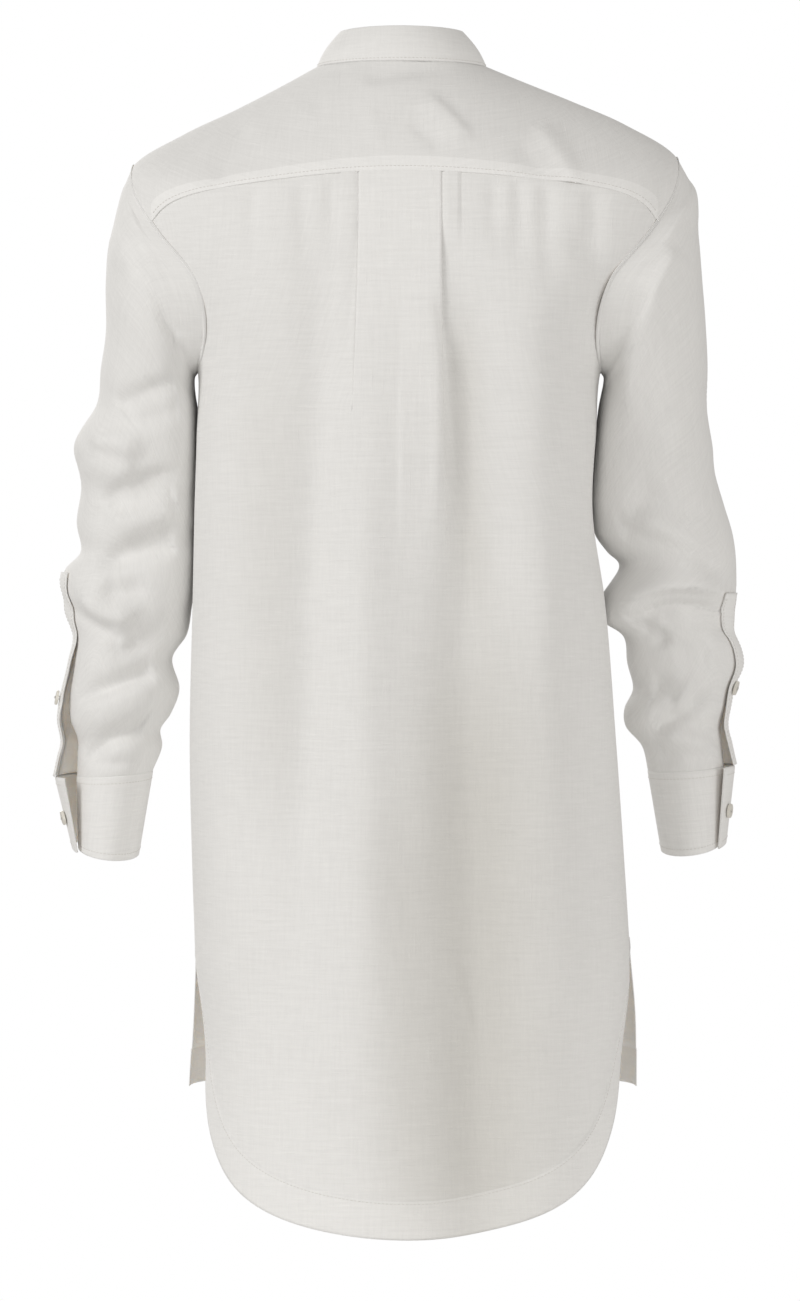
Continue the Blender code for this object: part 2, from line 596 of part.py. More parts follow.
def sleeve_rings(side, angles):
    """The rings of one sleeve: the armhole, then each section of its table."""
    sign = SIDES[side]
    rows = SLEEVE_LEFT if side == "left" else SLEEVE_RIGHT
    turn, level = armhole_turn(angles)
    rings = [body_skin(sign * turn, level)]
    for row in rows:
        rings.append(section_ring(dict(zip(SLEEVE_COLUMNS, row)), sign, angles))
    rings.insert(1, rings[0] * (1 - HEAD_SHARE) + rings[1] * HEAD_SHARE)
    return np.array(rings)


def section_ring(section, sign, angles):
    """One oval section, from its outer and inner points, its middle and its depth."""
    outer = np.array([sign * section["outer_x"], 0, section["outer_z"]])
    inner = np.array([sign * section["inner_x"], 0, section["inner_z"]])
    centre = (outer + inner) / 2 + np.array([0, section["centre_y"], 0])
    across = (outer - inner) / 2
    heights, drops = np.array(BACK_DROPS)[::-1].T
    depth = np.array([0, section["half_depth"], -np.interp(centre[2], heights, drops)])
    return centre + np.cos(angles)[:, None] * across + np.sin(angles)[:, None] * depth


def crease_depth(side, angles, z):
    """Depth of the creases at angles round the sleeve and heights down it."""
    rows = CREASES_LEFT if side == "left" else CREASES_RIGHT
    total = np.zeros(np.broadcast(angles, z).shape)
    for row in rows:
        crease = dict(zip(CREASE_COLUMNS, row))
        away = (angles - math.radians(crease["angle"]) + math.pi) % math.tau - math.pi
        line_z = crease["middle_z"] + crease["rise"] * away
        across = (z - line_z) / crease["width"]
        reach = away / math.radians(crease["reach"])
        total = total + crease["depth"] * np.exp(-(across**2) - reach**4)
    return total


def stand_off(side, share):
    """How far the lapping edge stands off, from the slit's top (0) to the cuff's top (1) and bottom (2)."""
    top, middle, seam, hem = SLITS[side]["stand_off"]
    return np.interp(share, (0, 0.5, 1, 2), (top, middle, seam, hem))


def sleeve_columns(side):
    """Angles of the sleeve's columns, from the slit's one edge round to the other."""
    first = SLITS[side]["column"]
    return math.tau / SLEEVE_SIDES * (first + np.arange(SLEEVE_SIDES + 1))


def sleeve_frame(side):
    """For every row of the sleeve, its place along the slit: below 0 above it and 1 at the cuff seam."""
    rows = len(SLEEVE_LEFT if side == "left" else SLEEVE_RIGHT) + 2
    slit_row = SLITS[side]["row"]
    return (np.arange(rows) - slit_row) / (rows - 1 - slit_row)


def lap_push(side, past, share):
    """Outward push near the lapping edge: past is the angle beyond the slit's first edge."""
    ramp = ease(past, math.tau - LAP_RAMP, math.tau)
    return ramp * stand_off(side, np.clip(share, 0, 2))


def sleeve_points(side):
    """The sleeve's grid, turned a little towards the cuff and standing open at its slit."""
    angles = sleeve_columns(side)
    share = sleeve_frame(side)
    twist = math.radians(SLITS[side]["turn"]) * ease(share, -1.2, 1.0)
    rows = []
    for r, along in enumerate(share):
        turned = angles + twist[r]
        if along > 0:
            turned = turned + np.linspace(SLIT_HALF_ANGLE, -SLIT_HALF_ANGLE, len(angles))
        ring = sleeve_rings(side, turned)[r]
        centre = ring.mean(axis=0)
        away = ring - centre
        away = away / np.linalg.norm(away, axis=-1, keepdims=True)
        near_seam = ease(r, 0, 3) * (1 - ease(along, 0.75, 1.0))
        push = crease_depth(side, turned % math.tau, ring[:, 2]) * near_seam
        push = np.where(np.cos(turned) < -0.6, 0.25, 1.0) * push
        push = push + lap_push(side, angles - angles[0], along)
        rows.append(ring + away * push[:, None])
    points = np.array(rows)
    inward = points[0].mean(axis=0) - points[0]
    inward = inward / np.linalg.norm(inward, axis=-1, keepdims=True)
    turn, level = armhole_turn(angles)
    out = body_normal(SIDES[side] * turn, level) * (UNDERARM_LIFT * ease(-np.cos(angles), 0, 1))[:, None]
    points[0] = points[0] + inward * ARMHOLE_CLEAR + out
    return points


def make_sleeve(side, linen):
    points = sleeve_points(side)
    cloth(f"sleeve_{side}", points, linen, joined_rows=SLITS[side]["row"] + 1)


def cuff_section(side, share):
    """The cuff's oval between the sleeve's last section (0) and its own hem (1)."""
    rows = SLEEVE_LEFT if side == "left" else SLEEVE_RIGHT
    hem = CUFF_LEFT_HEM if side == "left" else CUFF_RIGHT_HEM
    mixed = np.array(rows[-1]) * (1 - share) + np.array(hem) * share
    return dict(zip(SLEEVE_COLUMNS, mixed))


def cuff_points(side, past, shares, out=0.0):
    """Points of the cuff at angles past the slit's first edge and shares of its height."""
    sign = SIDES[side]
    first = sleeve_columns(side)[0] + math.radians(SLITS[side]["turn"]) + SLIT_HALF_ANGLE
    rows = []
    for share in shares:
        ring = section_ring(cuff_section(side, share), sign, first + past)
        centre = section_ring(cuff_section(side, share), sign, np.linspace(0, math.tau, 13)[:-1]).mean(axis=0)
        away = ring - centre
        away = away / np.linalg.norm(away, axis=-1, keepdims=True)
        push = lap_push(side, past, 1 + share) + out
        rows.append(ring + away * np.reshape(push, (-1, 1)))
    return np.array(rows)


def make_cuff(side, linen):
    """The cuff, lapped at the outer side and standing open at its top."""
    span = math.tau - 2 * SLIT_HALF_ANGLE
    past = np.concatenate([np.linspace(0, span, SLEEVE_SIDES + 1), span + np.linspace(0, CUFF_LAP, 4)[1:]])
    top = (SEAM_GAP + LAP_CLEAR) / CUFF_HEIGHT
    points = cuff_points(side, past, np.linspace(top, 1, CUFF_ROWS + 1))
    cloth(f"cuff_{side}", points, linen, CUFF_CLOTH)


def strip_points(side, past, out):
    """Points over the sleeve's slit at angles past its first edge, row by row, moved out."""
    share = sleeve_frame(side)
    angles = sleeve_columns(side)
    first_row = SLITS[side]["row"] - 2
    twist = math.radians(SLITS[side]["turn"]) * ease(share, -1.2, 1.0)
    rows = []
    for r in range(first_row, len(share)):
        turned = angles[0] + twist[r] + past
        ring = sleeve_rings(side, turned)[r]
        whole = sleeve_rings(side, angles[:-1])[r]
        away = ring - whole.mean(axis=0)
        away = away / np.linalg.norm(away, axis=-1, keepdims=True)
        near_seam = 1 - ease(share[r], 0.75, 1.0)
        push = crease_depth(side, turned % math.tau, ring[:, 2]) * near_seam
        push = push + lap_push(side, np.minimum(past, math.tau), share[r]) + out
        rows.append(ring + away * push[:, None])
    return np.array(rows)


def make_sleeve_strip(side, linen):
    """The strip that binds the sleeve's opening and laps over it."""
    past = math.tau + np.linspace(-STRIP_BEFORE, STRIP_AFTER, 4)
    points = strip_points(side, past, STRIP_LIFT)
    points[-1] = points[-1] + (points[-2] - points[-1]) * STRIP_END_BACK
    cloth(f"sleeve_placket_{side}", points, linen)


def button_outline():
    """A round button with four holes, as one flat curve."""
    curve = bpy.data.curves.new("button", "CURVE")
    curve.dimensions = "2D"
    curve.fill_mode = "BOTH"
    curve.extrude = BUTTON_THICKNESS / 2
    circles = [(0, 0, BUTTON_RADIUS, BUTTON_SIDES)]
    for quarter in range(4):
        angle = math.pi / 4 + quarter * math.pi / 2
        across, up = BUTTON_HOLE_OFFSET * math.cos(angle), BUTTON_HOLE_OFFSET * math.sin(angle)
        circles.append((across, up, BUTTON_HOLE_RADIUS, BUTTON_HOLE_SIDES))
    for across, up, radius, corners in circles:
        spline = curve.splines.new("POLY")
        spline.points.add(corners - 1)
        spline.use_cyclic_u = True
        for i, point in enumerate(spline.points):
            turn = math.tau * i / corners
            point.co = (across + radius * math.cos(turn), up + radius * math.sin(turn), 0, 1)
    return curve


def place_button(name, curve, material, seat, away):
    """A button whose underside is just clear of its seat, facing away from it."""
    obj = bpy.data.objects.new(name, curve)
    GARMENT.objects.link(obj)
    away = Vector([float(v) for v in away]).normalized()
    lift = BUTTON_THICKNESS / 2 + BUTTON_SEAT
    obj.location = Vector([float(v) for v in seat]) + away * lift
    obj.rotation_euler = away.to_track_quat("Z", "Y").to_euler()
    if not curve.materials:
        curve.materials.append(material)


def grid_normal(points, row, column):
    across = points[row, column + 1] - points[row, column - 1]
    down = points[row + 1, column] - points[row - 1, column]
    normal = np.cross(across, down)
    return normal / np.linalg.norm(normal)


def outward(normal, point, centre):
    return normal if np.dot(normal, point - centre) > 0 else -normal


def make_buttons(shell):
    """Buttons on the collar, the front opening, the sleeve strips and the cuffs."""
    curve = button_outline()
    strip_out = LAYER_STEP + CLOTH / 2
    for number, level in enumerate(FRONT_BUTTON_LEVELS, 1):
        turn = np.array(math.pi)
        seat = body_point(turn, level, strip_out + float(folds_out(FRONT_FOLDS, 0.0, level)))
        place_button(f"button_front_{number}", curve, shell, seat, body_normal(turn, np.array(level)))
    turn = np.array([math.pi - 0.05, math.pi + 0.05])
    low, high = collar_point(turn, np.full(2, 0.2)), collar_point(turn, np.full(2, 0.9))
    up = (high - low).mean(axis=0)
    away = np.cross(up, low[0] - low[1])
    middle = collar_point(np.array(math.pi), np.array(0.5), np.array(COLLAR_BOW))
    away = outward(away / np.linalg.norm(away), middle, np.zeros(3))
    place_button("button_collar", curve, shell, middle + away * (LAYER_STEP / 2 + COLLAR_CLOTH / 2), away)
    for side in SIDES:
        past = math.tau + STRIP_BUTTON_AT + np.array([-0.1, 0, 0.1])
        strip = strip_points(side, past, STRIP_LIFT)
        row = SLITS[side]["button_row"]
        centre = sleeve_rings(side, sleeve_columns(side)[:-1])[SLITS[side]["row"] - 2 + row].mean(axis=0)
        away = outward(grid_normal(strip, row, 1), strip[row, 1], centre)
        place_button(f"button_sleeve_{side}", curve, shell, strip[row, 1] + away * CLOTH / 2, away)
        past = math.tau + CUFF_BUTTON_AT + np.array([-0.1, 0, 0.1])
        band = cuff_points(side, past, (0.35, 0.55, 0.75))
        centre[2] = band[1, 1, 2]
        away = outward(grid_normal(band, 1, 1), band[1, 1], centre)
        place_button(f"button_cuff_{side}", curve, shell, band[1, 1] + away * CUFF_CLOTH / 2, away)


for old in list(bpy.data.objects):
    bpy.data.objects.remove(old, do_unlink=True)
GARMENT = bpy.data.collections.new("long_linen_blouse")
bpy.context.scene.collection.children.link(GARMENT)

LINEN = surface("linen", (0.80, 0.78, 0.74), 0.9)
SHELL = surface("button", (0.82, 0.79, 0.72), 0.35)

make_yoke(LINEN)
make_back(LINEN)
make_front(LINEN)
front_strip("placket_over", LINEN, LAYER_STEP)
front_strip("placket_under", LINEN, -LAYER_STEP)
make_collar(LINEN)
for each_side in SIDES:
    make_sleeve(each_side, LINEN)
    make_cuff(each_side, LINEN)
    make_sleeve_strip(each_side, LINEN)
make_buttons(SHELL)
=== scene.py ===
"""Looks of a long linen blouse, filled out with no wearer.

The front faces -Y, +Z is up and +X is the wearer's left. Sizes are metres.
"""

import math

import bpy
import numpy as np
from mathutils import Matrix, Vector


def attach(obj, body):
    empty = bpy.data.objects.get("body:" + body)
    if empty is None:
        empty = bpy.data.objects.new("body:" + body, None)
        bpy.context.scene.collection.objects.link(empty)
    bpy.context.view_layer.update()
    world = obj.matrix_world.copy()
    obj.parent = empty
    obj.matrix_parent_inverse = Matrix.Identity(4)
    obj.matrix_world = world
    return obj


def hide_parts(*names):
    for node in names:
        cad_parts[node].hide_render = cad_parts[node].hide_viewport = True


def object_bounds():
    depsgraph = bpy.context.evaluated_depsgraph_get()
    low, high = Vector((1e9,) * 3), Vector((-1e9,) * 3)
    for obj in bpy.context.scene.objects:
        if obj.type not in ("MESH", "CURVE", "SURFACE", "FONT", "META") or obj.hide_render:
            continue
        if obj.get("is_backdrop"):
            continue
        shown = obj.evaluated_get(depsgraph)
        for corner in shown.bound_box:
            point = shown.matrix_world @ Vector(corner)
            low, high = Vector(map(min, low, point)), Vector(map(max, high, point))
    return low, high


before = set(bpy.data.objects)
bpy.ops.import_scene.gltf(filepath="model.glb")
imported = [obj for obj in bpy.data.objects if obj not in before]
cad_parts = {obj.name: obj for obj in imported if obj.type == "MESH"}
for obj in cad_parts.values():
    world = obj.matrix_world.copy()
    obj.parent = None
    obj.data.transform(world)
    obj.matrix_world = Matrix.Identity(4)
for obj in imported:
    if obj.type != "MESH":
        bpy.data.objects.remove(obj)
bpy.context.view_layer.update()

# Studio. A white room with a small pale floor under the garment. The main lamp is large and soft,
# high on the picture's left. Weaker ones stand near the camera, on the right and on the hidden side.
PIXEL = 0.00077
PHOTO_HEIGHT = 1301
CAMERA_AWAY = 5.0
CAMERA_LEVEL = -0.4497
FLOOR_LEVEL = -1.02
FLOOR_RADIUS = 0.66
FLOOR_THICK = 0.01
FLOOR_COLOUR = (0.86, 0.86, 0.85)
LAMPS = (
    # name, place, aim, size, watts, colour
    ("lamp_key", (3.0, 2.3, 0.9), (0.0, 0.0, -0.45), 1.5, 58.0, (1.0, 0.995, 0.985)),
    ("lamp_fill", (-0.9, 3.6, -0.6), (0.0, 0.0, -0.5), 1.4, 17.5, (1.0, 0.99, 0.975)),
    ("lamp_side", (-2.8, 1.4, -0.6), (0.0, 0.0, -0.5), 1.6, 16.0, (1.0, 0.985, 0.96)),
    ("lamp_front", (1.2, -3.0, 1.0), (0.0, 0.0, -0.4), 2.0, 45.0, (1.0, 0.99, 0.98)),
)
# Light from all round, a little warm
AROUND = (0.430, 0.418, 0.402)


def added(name, data):
    """A new object in the scene, made from a mesh, a lamp, a curve or a camera."""
    thing = bpy.data.objects.new(name, data)
    bpy.context.scene.collection.objects.link(thing)
    return thing


def new_material(name, roughness):
    """A material with its nodes, its links and its shader."""
    material = bpy.data.materials.new(name)
    material.use_nodes = True
    nodes, links = material.node_tree.nodes, material.node_tree.links
    shader = nodes["Principled BSDF"]
    shader.inputs["Roughness"].default_value = roughness
    return material, nodes, links, shader


camera = added("camera", bpy.data.cameras.new("camera"))
camera.data.lens = camera.data.sensor_width * CAMERA_AWAY / (PHOTO_HEIGHT * PIXEL)
camera.data.clip_end = 40
camera.location = (0, CAMERA_AWAY, CAMERA_LEVEL)
camera.rotation_euler = (math.pi / 2, 0, math.pi)
bpy.context.scene.camera = camera
bpy.context.scene.view_settings.view_transform = "Standard"

for lamp_name, place, aim, size, watts, lamp_colour in LAMPS:
    lamp = bpy.data.lights.new(lamp_name, "AREA")
    lamp.size = size
    lamp.energy = watts
    lamp.color = lamp_colour
    lamp_object = added(lamp_name, lamp)
    lamp_object.location = place
    toward = Vector(aim) - Vector(place)
    lamp_object.rotation_euler = toward.to_track_quat("-Z", "Y").to_euler()
    lamp_object.visible_camera = False

room = bpy.data.worlds.new("room")
room.use_nodes = True
room_nodes, room_links = room.node_tree.nodes, room.node_tree.links
seen = room_nodes["Background"]
seen.inputs["Color"].default_value = (1, 1, 1, 1)
glow = room_nodes.new("ShaderNodeBackground")
glow.inputs["Color"].default_value = (*AROUND, 1)
pick = room_nodes.new("ShaderNodeMixShader")
ray = room_nodes.new("ShaderNodeLightPath")
room_links.new(ray.outputs["Is Camera Ray"], pick.inputs["Fac"])
room_links.new(glow.outputs["Background"], pick.inputs[1])
room_links.new(seen.outputs["Background"], pick.inputs[2])
room_links.new(pick.outputs["Shader"], room_nodes["World Output"].inputs["Surface"])
bpy.context.scene.world = room

bpy.ops.mesh.primitive_cylinder_add(
    vertices=96,
    radius=FLOOR_RADIUS,
    depth=FLOOR_THICK,
    location=(0, 0, FLOOR_LEVEL - FLOOR_THICK / 2),
)
floor = bpy.context.object
floor.name = "floor"
floor_paint, _, _, floor_shader = new_material("floor_paint", 0.7)
floor_shader.inputs["Base Color"].default_value = (*FLOOR_COLOUR, 1)
floor.data.materials.append(floor_paint)
floor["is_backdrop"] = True

# Yoke. Two layers of linen cut in one piece over both shoulders, from the neck to a seam behind and
# two short seams in front. The seam's turned-in cloth shows paler through it, above the lower edge.
CLOTH = 0.0008
SEAM_GAP = 0.0003
YOKE_DEPTH_CENTRE = 0.0850
YOKE_DEPTH_ARMHOLE = 0.1239
YOKE_SEAM_DIP = 3.2
YOKE_BAND = 0.0100
YOKE_BAND_SHARES = (0.96, 0.64, 0.32, 0.0, -0.08)
YOKE_BAND_LEAST = 0.0005
# How far the yoke's last two rows lie in, to go under the back
YOKE_EDGE_IN = (0.0002, 0.0007)
YOKE_SEAM_FADE = 0.03
YOKE_STITCHED = 0.985
YOKE_ARMHOLE_COLUMNS = 40
YOKE_SEAM_COLUMNS = 170
YOKE_ROWS = 44
YOKE_MIDDLE = np.array([0, 0, -0.30])
ARMHOLE_LEVEL = 0.1650
ARMHOLE_HALF_HEIGHT = 0.0700
ARMHOLE_HALF_ANGLE = math.radians(39)
# Where the yoke ends round the armhole, as angles from its top, behind and in front
YOKE_BACK_ANGLE = math.radians(54)
YOKE_FRONT_ANGLE = math.radians(36)
# Half widths, end heights and end depths of the body's sections, by level below the collar's foot
BODY_COLUMNS = (
    "level", "left", "right", "left_z", "right_z", "back_y", "back_z", "front_y", "front_z",
    "sag", "square",
)
BODY_SECTIONS = (
    (0.000, 0.0635, 0.0660, -0.0010, -0.0010, 0.058, 0.000, 0.078, -0.042, 0.000, 2.0),
    (0.020, 0.0890, 0.0930, -0.0150, -0.0120, 0.077, -0.021, 0.093, -0.064, 0.004, 2.1),
    (0.045, 0.1270, 0.1330, -0.0345, -0.0280, 0.093, -0.047, 0.107, -0.086, 0.010, 2.2),
    (0.070, 0.1660, 0.1740, -0.0530, -0.0460, 0.104, -0.072, 0.118, -0.104, 0.013, 2.4),
    (0.095, 0.2050, 0.2130, -0.0775, -0.0715, 0.111, -0.097, 0.126, -0.120, 0.010, 2.5),
    (0.130, 0.2070, 0.2140, -0.1280, -0.1270, 0.117, -0.132, 0.133, -0.145, 0.003, 2.6),
    (0.170, 0.1850, 0.1900, -0.1700, -0.1700, 0.121, -0.171, 0.137, -0.176, 0.000, 2.6),
    (0.225, 0.1570, 0.1570, -0.2250, -0.2250, 0.123, -0.225, 0.138, -0.226, 0.000, 2.5),
    (0.286, 0.1555, 0.1500, -0.2860, -0.2860, 0.122, -0.286, 0.135, -0.286, 0.000, 2.5),
    (0.340, 0.1570, 0.1470, -0.3400, -0.3400, 0.120, -0.340, 0.131, -0.340, 0.000, 2.5),
    (0.410, 0.1586, 0.1570, -0.4100, -0.4100, 0.119, -0.410, 0.128, -0.410, 0.000, 2.4),
    (0.520, 0.1610, 0.1660, -0.5200, -0.5200, 0.123, -0.520, 0.129, -0.520, 0.000, 2.4),
    (0.630, 0.1585, 0.1735, -0.6300, -0.6300, 0.128, -0.630, 0.131, -0.630, 0.000, 2.4),
    (0.677, 0.1570, 0.1765, -0.6770, -0.6770, 0.130, -0.677, 0.132, -0.677, 0.000, 2.4),
    (0.730, 0.1585, 0.1810, -0.7300, -0.7300, 0.131, -0.730, 0.132, -0.730, 0.000, 2.4),
    (0.785, 0.1617, 0.1814, -0.7850, -0.7850, 0.132, -0.785, 0.132, -0.785, 0.000, 2.4),
    (0.900, 0.1640, 0.1820, -0.9000, -0.9000, 0.133, -0.900, 0.133, -0.900, 0.000, 2.4),
)
# Creases, each a curve through three points as seen from behind. A curve drawn from left to right in
# the picture has its lower side first; one drawn downwards has its left side first.
CREASE_COLUMNS = ("x1", "z1", "x2", "z2", "x3", "z3", "first", "second", "height")
# How far a crease is felt, in its widths, and where along it the ends fade, as shares of its length
CREASE_REACH = 3.2
CREASE_STARTS = (-0.02, 0.3)
CREASE_ENDS = (0.7, 1.02)
YOKE_CREASES = (
    (0.030, -0.018, 0.000, -0.010, -0.040, -0.006, 0.006, 0.009, -0.0024),
    (-0.014, -0.026, -0.036, -0.046, -0.056, -0.070, 0.010, 0.006, 0.0030),
    (-0.004, -0.048, -0.020, -0.060, -0.032, -0.074, 0.006, 0.009, -0.0018),
    (-0.100, -0.048, -0.118, -0.072, -0.136, -0.104, 0.006, 0.010, 0.0026),
    (-0.086, -0.060, -0.100, -0.078, -0.112, -0.098, 0.010, 0.008, -0.0020),
    (0.112, -0.046, 0.130, -0.072, 0.142, -0.104, 0.010, 0.008, -0.0022),
    (0.060, -0.036, 0.085, -0.052, 0.112, -0.080, 0.014, 0.010, 0.0018),
    (0.024, -0.036, 0.020, -0.056, 0.022, -0.076, 0.006, 0.010, 0.0012),
)


def smooth(places, values, at):
    """Values at the places asked for, on a curve through the given ones with steady slopes."""
    at = np.asarray(at, float)
    slopes = np.gradient(values, places, axis=0)
    i = np.clip(np.searchsorted(places, at, side="right") - 1, 0, len(places) - 2)
    step = places[i + 1] - places[i]
    t = (at - places[i]) / step
    if values.ndim > 1:
        shape = t.shape + (1,) * (values.ndim - 1)
        t, step = t.reshape(shape), step.reshape(shape)
    start, end = values[i], values[i + 1]
    leave, arrive = slopes[i] * step, slopes[i + 1] * step
    return (
        (2 * t**3 - 3 * t**2 + 1) * start
        + (t**3 - 2 * t**2 + t) * leave
        + (3 * t**2 - 2 * t**3) * end
        + (t**3 - t**2) * arrive
    )


def ease(value, low, high):
    """0 below low, 1 above high and a soft step between."""
    t = np.clip((value - low) / (high - low), 0, 1)
    return t * t * (3 - 2 * t)


BODY = dict(zip(BODY_COLUMNS, np.array(BODY_SECTIONS).T))


def body_at(column, level):
    """One measure of the body's section at a level."""
    return smooth(BODY["level"], BODY[column], level)


def body_skin(turn, level):
    """Points of the body's form. Turn is 0 at the centre back and a quarter turn at the left side."""
    turn, level = np.broadcast_arrays(np.asarray(turn, float), np.asarray(level, float))
    s, c = np.sin(turn), np.cos(turn)
    square = body_at("square", level)
    grow = (np.abs(s) ** square + np.abs(c) ** square) ** (-1 / square)
    half = np.where(s >= 0, body_at("left", level), body_at("right", level))
    depth = np.where(c >= 0, body_at("back_y", level), body_at("front_y", level))
    end_z = np.where(c >= 0, body_at("back_z", level), body_at("front_z", level))
    side_z = np.where(s >= 0, body_at("left_z", level), body_at("right_z", level))
    z = side_z + (end_z - side_z) * c**2 - 4 * body_at("sag", level) * c**2 * (1 - c**2)
    return np.stack([grow * half * s, grow * depth * c, z], axis=-1)


def unit(vectors):
    """The same vectors, each 1 long."""
    return vectors / np.linalg.norm(vectors, axis=-1, keepdims=True)


def body_normal(turn, level):
    """The way out from the body's form at a point of it."""
    nudge = 0.0005
    round_it = body_skin(turn + nudge, level) - body_skin(turn - nudge, level)
    down_it = body_skin(turn, level + nudge) - body_skin(turn, level - nudge)
    return unit(np.cross(round_it, down_it))


def body_point(turn, level, out=0.0):
    """A point of the body's form, moved out from it."""
    turn, level, out = np.broadcast_arrays(*(np.asarray(v, float) for v in (turn, level, out)))
    return body_skin(turn, level) + body_normal(turn, level) * out[..., None]


def armhole_turn(angle):
    """Turn and level of the armhole oval, at an angle from its top towards the back."""
    turn = math.pi / 2 - ARMHOLE_HALF_ANGLE * np.sin(angle)
    level = ARMHOLE_LEVEL - ARMHOLE_HALF_HEIGHT * np.cos(angle)
    return turn, level


def yoke_seam_level(turn):
    """The yoke seam, lower towards the armholes."""
    share = np.clip(np.abs(turn) / armhole_turn(YOKE_BACK_ANGLE)[0], 0, 1)
    return YOKE_DEPTH_CENTRE + (YOKE_DEPTH_ARMHOLE - YOKE_DEPTH_CENTRE) * share**YOKE_SEAM_DIP


def crease_heights(points, rows, widen=1.0, samples=28):
    """Sum of the creases over a grid of points, each measured across its own curve."""
    flat = points[..., [0, 2]].reshape(-1, 2)
    total = np.zeros(len(flat))
    t = np.linspace(0, 1, samples)[:, None]
    for row in rows:
        c = dict(zip(CREASE_COLUMNS, row))
        start, through, end = (np.array([c[f"x{i}"], c[f"z{i}"]]) for i in (1, 2, 3))
        bend = 2 * through - (start + end) / 2
        curve = (1 - t) ** 2 * start + 2 * t * (1 - t) * bend + t**2 * end
        first, second = widen * c["first"], widen * c["second"]
        reach = CREASE_REACH * max(first, second)
        low, high = curve.min(axis=0) - reach, curve.max(axis=0) + reach
        near = np.flatnonzero(np.all((flat > low) & (flat < high), axis=1))
        if not len(near):
            continue
        gap = flat[near][:, None, :] - curve[None]
        closest = np.argmin((gap**2).sum(axis=-1), axis=1)
        gap = gap[np.arange(len(near)), closest]
        along = np.gradient(curve, axis=0)[closest]
        side = gap[:, 0] * -along[:, 1] + gap[:, 1] * along[:, 0]
        width = np.where(side > 0, first, second)
        share = t[closest, 0]
        fade = ease(share, *CREASE_STARTS) * (1 - ease(share, *CREASE_ENDS))
        away = np.linalg.norm(gap, axis=1) / width
        total[near] += c["height"] * fade * np.exp(-(away**2))
    return total.reshape(points.shape[:-1])


# Painted shade: where one layer stands off in a broad fold, its colour is darkened and warmed by this
FOLD_PAINTED_SHADE = (0.80, 0.79, 0.765)
# The noise between the thin and the thick places of a thread
THIN, THICK = 0.3, 0.7


def tinted(nodes, links, factor, first, second):
    """A mix of two colours. The first may also be the colour that another node gives."""
    tint = nodes.new("ShaderNodeMix")
    tint.data_type = "RGBA"
    if isinstance(first, tuple):
        tint.inputs["A"].default_value = (*first, 1)
    else:
        links.new(first, tint.inputs["A"])
    tint.inputs["B"].default_value = (*second, 1)
    links.new(factor, tint.inputs["Factor"])
    return tint.outputs["Result"]


def linen(name, colour, doubled_colour, see_through=0.0):
    """Plain-weave linen: fine threads both ways, thicker slubs, paler where it lies double, with
    painted shade in folds.
    """
    material, nodes, links, shader = new_material(name, 0.88)
    shader.inputs["Sheen Weight"].default_value = 0.12
    shader.inputs["Sheen Roughness"].default_value = 0.55
    shader.inputs["Specular IOR Level"].default_value = 0.25
    shader.inputs["Subsurface Weight"].default_value = see_through
    shader.inputs["Subsurface Radius"].default_value = (1.0, 0.85, 0.70)
    shader.inputs["Subsurface Scale"].default_value = 0.004
    grain = nodes.new("ShaderNodeUVMap")
    grain.uv_map = "grain"

    def threads(across, down, detail=2.0):
        place = nodes.new("ShaderNodeMapping")
        place.inputs["Scale"].default_value = (across, down, 1)
        links.new(grain.outputs["UV"], place.inputs["Vector"])
        noise = nodes.new("ShaderNodeTexNoise")
        noise.inputs["Scale"].default_value = 1
        noise.inputs["Detail"].default_value = detail
        links.new(place.outputs["Vector"], noise.inputs["Vector"])
        return noise.outputs["Fac"]

    def ranged(value, low, high, to_low, to_high):
        span = nodes.new("ShaderNodeMapRange")
        ends = {"From Min": low, "From Max": high, "To Min": to_low, "To Max": to_high}
        for socket, end in ends.items():
            span.inputs[socket].default_value = end
        links.new(value, span.inputs["Value"])
        return span.outputs["Result"]

    def total(*values):
        last = values[0]
        for value in values[1:]:
            add = nodes.new("ShaderNodeMath")
            links.new(last, add.inputs[0])
            links.new(value, add.inputs[1])
            last = add.outputs[0]
        return last

    # Threads, broad bands of them and slubs, by how fine they are across and down, and cloudy places
    weft, warp = threads(110, 1300), threads(1300, 110)
    weft_bands, warp_bands = threads(30, 420), threads(420, 30)
    weft_slubs = ranged(threads(32, 640, 1.0), 0.63, 0.72, 0, 1)
    warp_slubs = ranged(threads(560, 26, 1.0), 0.66, 0.76, 0, 1)
    clouds = threads(7, 7)
    shade = total(
        ranged(weft, THIN, THICK, 0.465, 0.485),
        ranged(warp, THIN, THICK, 0.0, 0.02),
        ranged(weft_bands, THIN, THICK, 0.235, 0.275),
        ranged(warp_bands, THIN, THICK, 0.235, 0.265),
        ranged(weft_slubs, 0, 1, 0, 0.030),
        ranged(warp_slubs, 0, 1, 0, 0.018),
        ranged(clouds, THIN, THICK, -0.010, 0.010),
    )

    def written(attribute):
        place = nodes.new("ShaderNodeAttribute")
        place.attribute_name = attribute
        return place.outputs["Fac"]

    # Painted shade: the colour darkens towards the fold shade as far as the mesh's painted-shade
    # values say
    shadow = tuple(c * s for c, s in zip(colour, FOLD_PAINTED_SHADE))
    layered = tinted(nodes, links, written("doubled"), colour, doubled_colour)
    shaded = tinted(nodes, links, written("painted_shade"), layered, shadow)
    toned = nodes.new("ShaderNodeVectorMath")
    toned.operation = "SCALE"
    links.new(shaded, toned.inputs[0])
    links.new(shade, toned.inputs["Scale"])
    links.new(toned.outputs[0], shader.inputs["Base Color"])
    bump = nodes.new("ShaderNodeBump")
    bump.inputs["Strength"].default_value = 0.45
    bump.inputs["Distance"].default_value = 0.00025
    relief = total(weft, warp, weft_bands, warp_bands, weft_slubs, warp_slubs)
    links.new(relief, bump.inputs["Height"])
    links.new(bump.outputs["Normal"], shader.inputs["Normal"])
    return material
